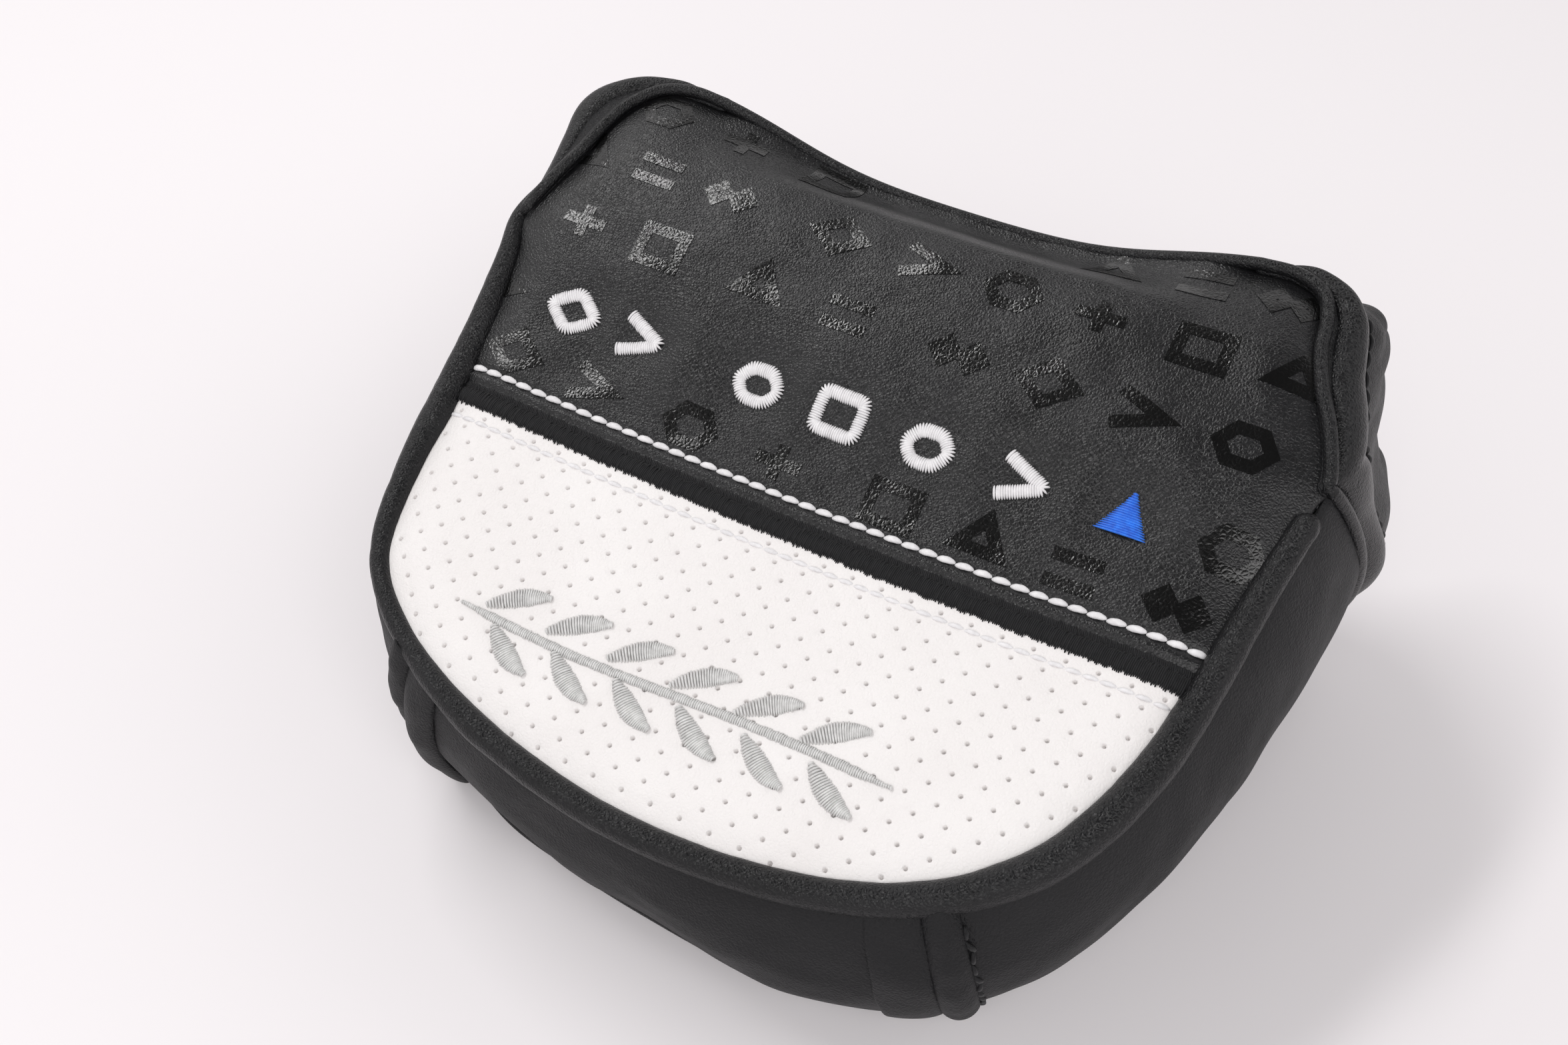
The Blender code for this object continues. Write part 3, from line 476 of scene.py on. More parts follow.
def gathers(place_at, across):
    """Puffs between the hem's gathers, deepest at the hem, and fine creases from each gather."""
    uneven = 0.35 * np.sin(9.0 * place_at) + 0.12 * np.sin(23 * place_at + 1.0)
    phase = math.pi * (GATHERS * place_at + uneven)
    puff = np.abs(np.sin(phase)) ** 0.65 - PUFF_MEAN
    fine = np.cos(4 * phase + 0.7) * ramp((across - 0.75) / 0.25)
    near_hem = ramp((across - 0.45) / 0.5)
    ease = lumps(place_at * COLLAR_LENGTH, across * COLLAR_DEPTH, COLLAR_LUMPS)
    return near_hem * (PUFF_DEPTH * puff + CREASE_DEPTH * fine) + ramp((across - 0.3) / 0.3) * ease


# ---------------------------------------------------------------- meshes

def grid_faces(rows, columns, loop=False):
    i, j = np.meshgrid(np.arange(rows - 1), np.arange(columns - (not loop)), indexing="ij")
    k = (j + 1) % columns
    faces = [i * columns + j, i * columns + k, (i + 1) * columns + k, (i + 1) * columns + j]
    return np.stack(faces, axis=-1).reshape(-1, 4)


class Soup:
    """Points and faces of several shapes gathered for one mesh."""

    def __init__(self):
        self.points, self.faces, self.count = [], [], 0

    def add(self, points, *faces):
        points = np.asarray(points, float).reshape(-1, 3)
        self.points.append(points)
        self.faces += [np.asarray(f, int) + self.count for f in faces]
        self.count += len(points)
        return self

    def build(self, name, finish):
        mesh = bpy.data.meshes.new(name)
        points = np.concatenate(self.points) * MM
        mesh.vertices.add(len(points))
        mesh.vertices.foreach_set("co", points.astype(np.float32).ravel())
        sizes = np.concatenate([np.full(len(f), f.shape[1]) for f in self.faces])
        corners = np.concatenate([f.ravel() for f in self.faces])
        mesh.loops.add(len(corners))
        mesh.loops.foreach_set("vertex_index", corners.astype(np.int32))
        mesh.polygons.add(len(sizes))
        starts = np.concatenate([[0], np.cumsum(sizes)[:-1]])
        mesh.polygons.foreach_set("loop_start", starts.astype(np.int32))
        mesh.update(calc_edges=True)
        mesh.validate()
        bm = bmesh.new()
        bm.from_mesh(mesh)
        bmesh.ops.recalc_face_normals(bm, faces=bm.faces[:])
        bm.to_mesh(mesh)
        bm.free()
        mesh.shade_smooth()
        mesh.materials.append(finish)
        obj = bpy.data.objects.new(name, mesh)
        bpy.context.scene.collection.objects.link(obj)
        return obj


def settle(obj, *nodes, body="cover"):
    """Rides the piece on its body and hides the CAD nodes that it stands for."""
    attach(obj, body)
    if nodes:
        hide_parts(*nodes)
    return obj


def grid_normals(grid, centre=INSIDE):
    rows, columns = np.gradient(grid, axis=0), np.gradient(grid, axis=1)
    normal = unit(np.cross(rows, columns))
    if (normal * (grid - centre)).sum() < 0:
        normal = -normal
    return normal


def slab(name, grid, thickness, finish, centre=INSIDE):
    """A sheet of one thickness under a grid of points, with half-round edges."""
    rows, columns = grid.shape[:2]
    normal = grid_normals(grid, centre)
    inner = grid - thickness * normal
    border = np.concatenate(
        [
            np.arange(columns),
            np.arange(1, rows) * columns + columns - 1,
            (rows - 1) * columns + np.arange(columns - 2, -1, -1),
            np.arange(rows - 2, 0, -1) * columns,
        ]
    )
    i, j = border // columns, border % columns
    inward_i = i + np.where(i == 0, 1, 0) - np.where(i == rows - 1, 1, 0)
    inward_j = j + np.where(j == 0, 1, 0) - np.where(j == columns - 1, 1, 0)
    edge, up = grid[i, j], normal[i, j]
    away = edge - grid[inward_i, inward_j]
    away = unit(away - (away * up).sum(axis=-1, keepdims=True) * up)
    turns = [k * math.pi / 4 for k in (1, 2, 3)]
    middle, half = edge - thickness / 2 * up, thickness / 2
    rings = [middle + half * (math.cos(t) * up + math.sin(t) * away) for t in turns]
    count, around = rows * columns, len(border)
    loops = [border, *[2 * count + k * around + np.arange(around) for k in range(3)], count + border]
    sides = [
        np.stack([a, np.roll(a, -1), np.roll(b, -1), b], axis=1) for a, b in zip(loops, loops[1:])
    ]
    faces = grid_faces(rows, columns)
    points = np.concatenate([grid.reshape(-1, 3), inner.reshape(-1, 3), *rings])
    return Soup().add(points, faces, faces[:, ::-1] + count, *sides).build(name, finish)


def pad_and_line(part, padding, lining, tail="", centre=INSIDE):
    """The padding and the plush lining behind a skin, each over its own grid of points."""
    made = slab(f"{part}_padding{tail}", padding, FOAM, FOAM_SHEET, centre)
    settle(made, f"{part}_foam{tail}")
    made = slab(f"{part}_plush{tail}", lining, LINING, LINING_PLUSH, centre)
    settle(made, f"{part}_lining{tail}")


# How far a thread's plies stand out and the grooves between them sink, as shares of its radius.
PLY_DEPTH, PLY_SINK = 0.13, 0.06


def tube_rings(path, up, radius, sides, tall=1.0, twist=None):
    """Rings of points round paths of shape (..., m, 3), of shape (..., m, sides, 3)."""
    run = unit(np.gradient(path, axis=-2))
    side = unit(np.cross(run, up))
    rise = np.cross(side, run)
    turn = np.linspace(0, 2 * math.pi, sides, endpoint=False)
    size = np.asarray(radius, float)[..., None] * np.ones(sides)
    if twist is not None:
        size = size * (1 + PLY_DEPTH * np.abs(np.cos(1.5 * (turn + twist[..., None]))) - PLY_SINK)
    across = (np.cos(turn) * size)[..., None] * side[..., None, :]
    over = (tall * np.sin(turn) * size)[..., None] * rise[..., None, :]
    return path[..., None, :] + across + over


def add_tubes(soup, rings):
    """Adds closed tubes from rings of shape (n, m, sides, 3)."""
    n, m, sides = rings.shape[:3]
    base = grid_faces(m, sides, loop=True)
    start = np.arange(n)[:, None] * m * sides
    walls = (base[None] + start[..., None]).reshape(-1, 4)
    first = start + np.arange(sides)[::-1]
    last = start + (m - 1) * sides + np.arange(sides)
    soup.add(rings, walls, first, last)


def cord_piece(name, path, radius, finish, *nodes, up=(0.0, 0.0, 1.0), sides=20, tall=1.0, body="cover"):
    """A round cord along a path, settled on its body."""
    soup = Soup()
    path = np.asarray(path, float)
    up, radius = np.broadcast_to(up, path.shape), np.broadcast_to(radius, len(path))
    add_tubes(soup, tube_rings(path, up, radius, sides, tall)[None])
    settle(soup.build(name, finish), *nodes, body=body)


# ---------------------------------------------------------------- thread

def resample(points, pitch, closed, round_off):
    """Evenly spaced points along a polyline and the directions across it, with corners eased."""
    points = np.asarray(points, float)
    if closed:
        points = np.concatenate([points, points[:1]])
    lengths = lengths_along(points)
    count = max(int(round(lengths[-1] / pitch)), 4)
    at = np.linspace(0, lengths[-1], count, endpoint=not closed)
    line = np.stack([np.interp(at, lengths, points[:, k]) for k in range(points.shape[1])], axis=1)
    reach = max(int(round(round_off / pitch)), 1)
    if closed:
        eased = sum(np.roll(line, k, axis=0) for k in range(-reach, reach + 1)) / (2 * reach + 1)
        run = np.roll(eased, -1, axis=0) - np.roll(eased, 1, axis=0)
    else:
        padded = np.concatenate([np.repeat(line[:1], reach, 0), line, np.repeat(line[-1:], reach, 0)])
        eased = sum(padded[k : k + count] for k in range(2 * reach + 1)) / (2 * reach + 1)
        eased[0], eased[-1] = line[0], line[-1]
        run = np.gradient(eased, axis=0)
    return eased, sideways(unit(run))


# A satin thread: points along it, how far its ends sink, and how much its height may vary.
SATIN_POINTS, SATIN_SINK, SATIN_UNEVEN = 9, 0.12, 0.05


def satin(soup, left, right, height, radius, seed, jitter=0.13, slant=0.0):
    """Close threads over the top panel, each arching from a left rail point to a right one."""
    random = np.random.default_rng(seed)
    each = (len(left), 1)
    across = unit(right - left)
    left = left - across * random.uniform(-0.3, 1.0, each) * jitter
    right = right + across * random.uniform(-0.3, 1.0, each) * jitter
    run = unit(np.gradient((left + right) / 2, axis=0))
    right = right + slant * run
    left = left - slant * run
    t = np.linspace(0, 1, SATIN_POINTS)
    plan = left[:, None] + (right - left)[:, None] * t[None, :, None]
    point, up = top_frame(plan[..., 0], plan[..., 1])
    arch = height + random.uniform(-SATIN_UNEVEN, SATIN_UNEVEN, each)
    path = point + (arch * np.sin(math.pi * t) ** 0.55 - SATIN_SINK)[..., None] * up
    size = radius * (0.35 + 0.65 * np.sin(math.pi * t) ** 0.4) * random.uniform(0.9, 1.12, each)
    add_tubes(soup, tube_rings(path, up, size, 6))


# A lockstitch: points along it, its overlap with the next as a share of the pitch, how far its ends
# sink and its middle rises as shares of its width, its height as a share of its width, and its turns.
STITCH_POINTS, STITCH_OVERLAP, STITCH_SINK, STITCH_ARCH, STITCH_TALL = 15, 0.02, 0.42, 0.76, 0.75
STITCH_TURNS = 0.9


def lockstitch(name, path, up, pitch, width, finish, *nodes, lean=0.16, body="cover"):
    """A row of stitches along a path on a surface, each dipping into its needle holes."""
    lengths = lengths_along(path)
    count = max(int(lengths[-1] / pitch), 1)
    t = np.linspace(0, 1, STITCH_POINTS)
    at = np.arange(count)[:, None] + t[None] * (1 + 2 * STITCH_OVERLAP) - STITCH_OVERLAP
    at = at * lengths[-1] / count
    point = np.stack([np.interp(at, lengths, path[:, k]) for k in range(3)], axis=-1)
    out = unit(np.stack([np.interp(at, lengths, up[:, k]) for k in range(3)], axis=-1))
    side = unit(np.cross(np.gradient(point, axis=1), out))
    arch = np.sin(math.pi * t) ** 0.6
    lift = width * (STITCH_ARCH * arch - STITCH_SINK)
    point = point + lift[None, :, None] * out + (lean * width * (1 - 2 * t))[None, :, None] * side
    size = np.broadcast_to(width / 2 * (0.20 + 0.80 * arch), at.shape)
    twist = np.broadcast_to(2 * math.pi * STITCH_TURNS * t, at.shape)
    soup = Soup()
    add_tubes(soup, tube_rings(point, out, size, 12, STITCH_TALL, twist))
    settle(soup.build(name, finish), *nodes, body=body)


def surface_line(y, low, high):
    """Path and normals of a straight row across the top panel."""
    x = np.arange(low, high, 0.5)
    return top_frame(x, np.full_like(x, y))


# ---------------------------------------------------------------- materials

class Nodes:
    """Short names for the shader nodes that the finishes use."""

    def __init__(self, name):
        self.made = bpy.data.materials.new(name)
        self.made.use_nodes = True
        self.tree = self.made.node_tree
        self.shader = self.tree.nodes["Principled BSDF"]
        self.place = self.new("ShaderNodeTexCoord").outputs["Object"]

    def new(self, kind, inputs=(), **settings):
        """A node with its settings, and with the numbers and links given for its inputs."""
        node = self.tree.nodes.new(kind)
        for key, value in settings.items():
            setattr(node, key, value)
        self.feed(node, dict(inputs))
        return node

    def feed(self, node, inputs):
        for key, source in inputs.items():
            if isinstance(source, bpy.types.NodeSocket):
                self.tree.links.new(source, node.inputs[key])
            elif source is not None:
                node.inputs[key].default_value = source

    def noise(self, size, detail=4.0, rough=0.55, stretch=None, output="Fac"):
        """Noise with lumps of the given size in millimetres."""
        place = self.place
        if stretch:
            place = self.new("ShaderNodeMapping", {"Scale": stretch, "Vector": place}).outputs["Vector"]
        inputs = {"Scale": 1.0 / (size * MM), "Detail": detail, "Roughness": rough, "Vector": place}
        return self.new("ShaderNodeTexNoise", inputs).outputs[output]

    def warped(self, size, amount):
        """The place moved about by noise, so that cells lose their regular shape."""
        inputs = {"Scale": amount * MM, 0: self.noise(size, 2.0, output="Color")}
        shift = self.new("ShaderNodeVectorMath", inputs, operation="SCALE").outputs["Vector"]
        return self.new("ShaderNodeVectorMath", {0: self.place, 1: shift}, operation="ADD").outputs["Vector"]

    def cells(self, size, vector):
        """Distance to the nearest edge of cells of the given size."""
        inputs = {"Scale": 1.0 / (size * MM), "Vector": vector}
        return self.new("ShaderNodeTexVoronoi", inputs, feature="DISTANCE_TO_EDGE").outputs["Distance"]

    def range(self, value, to_low=0.0, to_high=1.0, low=0.3, high=0.7):
        """The value stretched from low and high, between which most noise lies, to to_low and to_high."""
        inputs = {"From Min": low, "From Max": high, "To Min": to_low, "To Max": to_high, "Value": value}
        return self.new("ShaderNodeMapRange", inputs).outputs["Result"]

    def blend(self, factor, first, second):
        node = self.new("ShaderNodeMix", data_type="RGBA")
        self.feed(node, {"Factor": factor, "A": (*first, 1.0), "B": (*second, 1.0)})
        return node.outputs["Result"]

    def bump(self, height, distance, strength, before=None):
        """Bump whose full height is distance millimetres, laid over an earlier bump."""
        inputs = {"Distance": distance * MM, "Strength": strength, "Height": height, "Normal": before}
        return self.new("ShaderNodeBump", inputs).outputs["Normal"]

    def finish(self, colour, roughness, normal=None, **values):
        inputs = {"Base Color": colour, "Roughness": roughness, "Normal": normal}
        inputs.update((key.replace("_", " "), value) for key, value in values.items())
        self.feed(self.shader, inputs)
        return self.made


# Widths, as shares of a cell, of the groove between pebbles and of a crease.
PEBBLE_GROOVE, CREASE_GROOVE = 0.32, 0.10


def leather(name, dark, light, grain, rough, depth, wrinkle, specular):
    """Fine pebbled polyurethane leather with short creases. grain is the size of its pebbles."""
    n = Nodes(name)
    pebbles = n.cells(grain, n.warped(grain * 1.6, grain * 0.9))
    creases = n.cells(grain * 4.5, n.warped(grain * 5, grain * 4))
    normal = n.bump(n.noise(6.0, 3.0, 0.5), wrinkle, 0.8)
    normal = n.bump(n.range(creases, low=0.0, high=CREASE_GROOVE), depth * 0.6, 0.6, normal)
    normal = n.bump(n.range(pebbles, low=0.0, high=PEBBLE_GROOVE), depth, 0.8, normal)
    normal = n.bump(n.noise(grain * 0.6, 3.0, 0.6), depth, 0.7, normal)
    colour = n.blend(n.range(n.noise(18.0, 3.0, 0.5)), dark, light)
    return n.finish(colour, n.range(n.noise(9.0), *rough), normal, Specular_IOR_Level=specular)


def thread(name, dark, light, rough, sheen, specular=0.5):
    """Glossy twisted polyester."""
    n = Nodes(name)
    fibre = n.noise(0.12, 4.0, 0.65)
    colour = n.blend(n.range(n.noise(1.1, 3.0, 0.6)), dark, light)
    shine = n.range(fibre, rough - 0.08, rough + 0.14)
    return n.finish(colour, shine, n.bump(fibre, 0.05, 0.7), Sheen_Weight=sheen, Specular_IOR_Level=specular)


def plush(name, dark, light, size, depth):
    """Short pile or open foam."""
    n = Nodes(name)
    pile = n.noise(size, 5.0, 0.7)
    colour = n.blend(n.range(n.noise(7.0, 3.0)), dark, light)
    return n.finish(colour, n.range(pile, 0.8, 1.0), n.bump(pile, depth, 0.8), Sheen_Weight=0.5)


# Each leather's name, dark and light colour, grain, range of roughness, depth, wrinkles and specular level.
BLACK, GUSSET, COLLAR, PIPING, WHITE, GLOSS = (
    leather(*look)
    for look in (
        ("black_leather", (0.005, 0.005, 0.0055), (0.009, 0.009, 0.01), 0.55, (0.30, 0.37), 0.05, 0.25, 0.42),
        ("gusset_leather", (0.006, 0.006, 0.007), (0.011, 0.011, 0.012), 0.7, (0.52, 0.62), 0.10, 0.2, 0.24),
        ("collar_leather", (0.006, 0.006, 0.007), (0.010, 0.010, 0.011), 0.6, (0.44, 0.54), 0.14, 0.4, 0.28),
        ("piping_leather", (0.004, 0.004, 0.0045), (0.008, 0.008, 0.009), 0.6, (0.30, 0.37), 0.09, 0.1, 0.30),
        ("white_leather", (0.79, 0.765, 0.755), (0.83, 0.81, 0.80), 0.6, (0.42, 0.52), 0.04, 0.25, 0.3),
        ("gloss_print", (0.0015,) * 3, (0.0025,) * 3, 0.7, (0.17, 0.22), 0.03, 0.10, 0.62),
    )
)
BAND_THREAD = thread("band_thread", (0.003, 0.003, 0.004), (0.009, 0.009, 0.010), 0.5, 0.1, 0.22)
BLACK_THREAD = thread("black_thread", (0.008, 0.008, 0.009), (0.022, 0.022, 0.024), 0.42, 0.3)
WHITE_THREAD = thread("white_thread", (0.70, 0.69, 0.70), (0.84, 0.83, 0.84), 0.36, 0.1)
SILVER_THREAD = thread("silver_thread", (0.50, 0.50, 0.49), (0.70, 0.70, 0.69), 0.28, 0.2, 0.9)
BLUE_THREAD = thread("blue_thread", (0.006, 0.10, 0.60), (0.015, 0.20, 0.85), 0.34, 0.15)
LINING_PLUSH = plush("lining_plush", (0.035, 0.035, 0.038), (0.06, 0.06, 0.064), 0.5, 0.35)
FOAM_SHEET = plush("foam_sheet", (0.045, 0.045, 0.05), (0.07, 0.07, 0.075), 0.35, 0.2)
CORD_TWIST = plush("cord_cotton", (0.62, 0.60, 0.56), (0.76, 0.74, 0.70), 0.4, 0.2)
ELASTIC = plush("elastic_weave", (0.07, 0.07, 0.07), (0.12, 0.12, 0.12), 0.3, 0.15)


def steel():
    n = Nodes("nickel_plate")
    brushed = n.noise(0.4, 4.0, 0.6, stretch=(1.0, 1.0, 12.0))
    colour = n.blend(brushed, (0.50, 0.50, 0.51), (0.62, 0.62, 0.64))
    return n.finish(colour, n.range(brushed, 0.22, 0.36), n.bump(brushed, 0.01, 0.4), Metallic=1.0)


NICKEL = steel()


# ---------------------------------------------------------------- top panel

def build_top():
    far = SEAM[-1][1] - MOUTH_PIPING_RADIUS
    x, y = panel_places(TOP_EDGE, far + 1.0, 160, 280, -1.1)
    settle(slab("top_leather", top_point(x, y), LEATHER, BLACK), "top_panel")

    wall = LEATHER + FOAM + LINING + GAP
    depth = -(LEATHER + 3 * GAP)
    x, y = panel_places(FROM_FRONT, far - PADDING_SETBACK, 40, 60, wall)
    pad_and_line("top", top_point(x, y, depth), top_point(x, y, depth - (FOAM + GAP)))


# The holes end at HOLES_END and leave ROW_CLEAR on both sides of the patch's row of stitches.
HOLE_SPACING, HOLE_RADIUS, HOLES_END, ROW_CLEAR = 4.95, 0.33, 23.2, 0.95
# Rings round a hole: (radius as a share of the hole's, how deep the leather lies there).
HOLE_RINGS = ((0.72, -0.95), (1.0, -0.22), (1.22, -0.06), (1.75, 0.0))
HOLE_FLOOR = -1.0


def hole_places():
    """Centres of the perforations: a square lattice turned by 45 degrees."""
    steps = np.arange(-14, 15) * HOLE_SPACING
    lattice = np.stack(np.meshgrid(steps, steps), axis=-1).reshape(-1, 2)
    places = np.concatenate([lattice, lattice + HOLE_SPACING / 2])
    x, y = places.T
    return places[on_panel(x, y, 0.15) & (y < HOLES_END) & (np.abs(y - PATCH_STITCH_Y) > ROW_CLEAR)]


def build_patch():
    """The patch: one triangulated sheet whose holes are pressed in."""
    top = PATCH_EDGE + 0.2
    # The outline runs along the seam under the piping, then straight across under the band.
    along = np.linspace(-RIM_LENGTH, RIM_LENGTH, 700)
    edge = seam_plan(along) - (piping_radius(along) - 1.0)[:, None] * seam_outward(along)
    edge = edge[edge[:, 1] < top - 0.3]
    across = np.arange(edge[-1, 0] - 0.4, edge[0, 0] + 0.4, -0.8)
    rim_points = np.concatenate([edge, np.stack([across, np.full_like(across, top)], axis=1)])

    holes = hole_places()
    turn = np.linspace(0, 2 * math.pi, 12, endpoint=False)
    circle = np.stack([np.cos(turn), np.sin(turn)], axis=1)
    radii = [HOLE_RADIUS * share for share, _ in HOLE_RINGS]
    rings = [holes[:, None] + r * circle for r in radii]

    # Points between the holes, a little off their lattice so that the triangles vary.
    step = 1.1
    fill = np.meshgrid(np.arange(-66, 66, step), np.arange(-26, top - 0.4, step))
    fill = np.stack(fill, axis=-1).reshape(-1, 2)
    fill = fill + 0.23 * step * np.sin(fill[:, ::-1] * 7.3)
    clear = np.linalg.norm(fill[:, None] - holes[None], axis=-1).min(axis=1) > radii[-1] + 0.35
    fill = fill[clear & on_panel(fill[:, 0], fill[:, 1], -0.4)]

    points = np.concatenate([rim_points, *[r.reshape(-1, 2) for r in rings], fill])
    loops = [np.arange(len(rim_points))[None]]
    start = len(rim_points)
    for _ in rings:
        loops.append(start + np.arange(holes.shape[0] * len(turn)).reshape(-1, len(turn)))
        start += holes.shape[0] * len(turn)
    edges = [
        (int(a), int(b)) for group in loops for loop in group for a, b in zip(loop, np.roll(loop, -1))
    ]
    flat = delaunay_2d_cdt([Vector(p) for p in points], edges, [], 1, 1e-6)
    plan = np.array([tuple(v) for v in flat[0]])
    faces = np.array([f for f in flat[2] if len(f) == 3])

    nearest = np.concatenate(
        [np.linalg.norm(part[:, None] - holes, axis=-1).min(axis=1) for part in np.array_split(plan, 8)]
    )
    depth = np.interp(nearest, [0, *radii], [HOLE_FLOOR, *(depth for _, depth in HOLE_RINGS)])
    outer = top_point(plan[:, 0], plan[:, 1], depth)
    settle(Soup().add(outer, faces).build("patch_leather", WHITE), "perforated_patch")


# Rows of the band: (seed, lower edge, upper edge, height, slant). The second is a low whip stitch.
BAND_ROWS = ((11, 23.6, 26.6, 0.55, 0.12), (12, 26.5, 27.5, 0.10, -0.10))
BACKING_LOW, BACKING_HIGH = 24.2, 27.6


def build_band():
    """Black satin stitch over the patch's raw edge, on a thin black backing."""
    soup = Soup()
    for seed, low, high, height, slant in BAND_ROWS:
        x = np.arange(*row_ends(low, -0.6), 0.30)
        left, right = (np.stack([x, np.full_like(x, y)], axis=1) for y in (low, high))
        satin(soup, left, right, height, 0.20, seed, 0.40, slant)
    x = np.linspace(*row_ends(25.6, -0.6), 200)
    grid = top_point(x[:, None], np.linspace(BACKING_LOW, BACKING_HIGH, 8)[None, :], 0.02)
    soup.add(grid, grid_faces(*grid.shape[:2]))
    settle(soup.build("satin_band", BAND_THREAD), "accent_band")


# White rows: (piece, CAD node, place, width, pitch).
WHITE_ROWS = (
    ("white_topstitch", "topstitch", TOPSTITCH_Y, 1.1, 2.95),
    ("patch_row_stitch", "patch_stitch", PATCH_STITCH_Y, 0.72, 2.6),
)


def build_rows():
    for name, node, y, width, pitch in WHITE_ROWS:
        row = surface_line(y, *row_ends(y, -0.4))
        lockstitch(name, *row, pitch, width, WHITE_THREAD, node)


# ---------------------------------------------------------------- embroidery

def ring(sides, rx, ry, start=0.0):
    turns = start + np.arange(sides) * 2 * math.pi / sides
    return np.stack([rx * np.cos(turns), ry * np.sin(turns)], axis=1)


def mark_strokes():
    """Middle lines of the row's plain marks: (points, closed), and no points for the filled triangle."""
    rx, ry = (MARK_WIDTH - MARK_STROKE) / 2, (MARK_HEIGHT - MARK_STROKE) / 2
    arrow = [(-rx, -ry - 0.3), (rx - 0.6, 0.0), (-rx, ry + 0.3)]
    return [
        (ring(4, rx + 0.7, ry + 0.7), True),
        (arrow, False),
        (ring(6, rx, ry + 0.2), True),
        (ring(4, rx * 1.35, ry * 1.5, math.pi / 4), True),
        (ring(6, rx, ry + 0.2), True),
        (arrow, False),
        (None, False),
    ]


# The filled triangle at the row's end: its foot, top, half width at the foot, and its threads' spacing.
TRIANGLE_FOOT, TRIANGLE_TOP, TRIANGLE_HALF, TRIANGLE_PITCH = -2.7, 3.9, 4.1, 0.36


def build_marks():
    for number, (points, closed) in enumerate(mark_strokes()):
        middle = np.array([MARK_PLACES[number], MARK_ROW_Y])
        soup = Soup()
        if points is None:
            y = np.arange(TRIANGLE_FOOT, TRIANGLE_TOP - 0.3, TRIANGLE_PITCH)
            half = TRIANGLE_HALF * (TRIANGLE_TOP - y) / (TRIANGLE_TOP - TRIANGLE_FOOT)
            half = np.maximum(half, 0.35)
            left, right = np.stack([-half, y], 1) + middle, np.stack([half, y], 1) + middle
            satin(soup, left, right, 0.72, 0.22, 40 + number)
        else:
            line, across = resample(points, 0.38, closed, 0.8)
            line = line + middle
            half = MARK_STROKE / 2
            satin(soup, line + half * across, line - half * across, 0.66, 0.225, 40 + number, 0.08)
        made = soup.build(f"stitched_mark_{number + 1}", BLUE_THREAD if points is None else WHITE_THREAD)
        settle(made, f"embroidered_mark_{number + 1}")


# The sprig: half its length, its leaves on each side, their spacing, and where the first one begins.
SPRIG_HALF, SPRIG_LEAVES, LEAF_SPACING, SPRIG_START = 37, 6, 11.0, -34.0
# A leaf's root and tip from where it begins, how far it bends, and its half width at its ends and middle.
LEAF_ROOT, LEAF_TIP, LEAF_BEND, LEAF_HALF = (0.6, 1.2), (9.6, 6.4), (0.35, 1.0), (0.35, 1.35)


def build_emblem():
    """A leafy sprig in silver satin stitch."""
    soup = Soup()

    def leant(points):
        points = np.array(points, float)
        points[:, 1] += EMBLEM_LEAN * points[:, 0]
        return points + EMBLEM_MIDDLE

    x = np.arange(-SPRIG_HALF, SPRIG_HALF, 0.36)
    wave = 0.5 * np.sin(x / 11.0)
    wide = 0.75 * np.clip((SPRIG_HALF + 0.5 - np.abs(x)) / 6, 0.3, 1)
    satin(soup, leant(np.stack([x, wave + wide], 1)), leant(np.stack([x, wave - wide], 1)), 0.5, 0.2, 70)
    t = np.linspace(0.02, 0.98, 27)
    for side in (1, -1):
        for k in range(SPRIG_LEAVES):
            start = (k * LEAF_SPACING + SPRIG_START + (0 if side > 0 else 3.0), 0.0)
            root, tip = (start + np.array(end) * (1, side) for end in (LEAF_ROOT, LEAF_TIP))
            bend = np.array(LEAF_BEND) * (1, side) * np.sin(math.pi * t)[:, None]
            line = root + (tip - root) * t[:, None] + bend
            half = (LEAF_HALF[0] + LEAF_HALF[1] * np.sin(math.pi * t**0.85))[:, None]
            across = half * sideways(unit(np.gradient(line, axis=0)))
            satin(soup, leant(line + across), leant(line - across), 0.62, 0.2, 80 + 10 * k + (side > 0))
    settle(soup.build("sprig_emblem", SILVER_THREAD), "patch_emblem")


def print_shapes():
    """Middle lines of the tonal prints, in turn: (strokes, closed), all plain geometric shapes."""
    rx, ry = 4.0, 2.9
    diamond = ring(4, 1.7, 1.7)
    return [
        ([ring(4, rx + 0.3, ry + 0.3)], True),
        ([[(-rx, -ry), (rx - 0.6, 0.0), (-rx, ry)]], False),
        ([ring(6, rx, ry + 0.2)], True),
        ([[(-rx, 0.0), (rx, 0.0)], [(0.0, -ry), (0.0, -1.0)], [(0.0, 1.0), (0.0, ry)]], False),
        ([ring(4, rx * 1.3, ry * 1.4, math.pi / 4)], True),
        ([ring(3, rx, ry * 1.15, math.pi / 2)], True),
        ([[(-rx, ry * 0.7), (rx, ry * 0.7)], [(-rx, -ry * 0.7), (rx, -ry * 0.7)]], False),
        ([diamond - (2.3, 0.0), diamond + (2.3, 0.0)], True),
    ]


# Rows of prints: (place of the row, places along it, number of its first shape).
PRINT_ROWS = (
    (35.2, (-58.6, -42.9, -24.0, -7.6, 12.6, 27.8, 42.6, 58.3), 0),
    (60.6, (-58.5, -43.0, -23.8, -7.4, 12.4, 27.5, 42.5, 58.3), 3),
    (73.8, (-65.0, -50.8, -36.3, -15.3, 0.8, 15.8, 30.5, 46.8, 61.4), 5),
    (87.0, (-56.8, -41.0, -24.0, 27.8, 42.6, 56.0), 2),
    (45.4, (-68.0, 62.4), 1),
)
# Width of a print's strokes, and how far it lies over the leather.
PRINT_STROKE, PRINT_LIFT = 2.0, 0.10


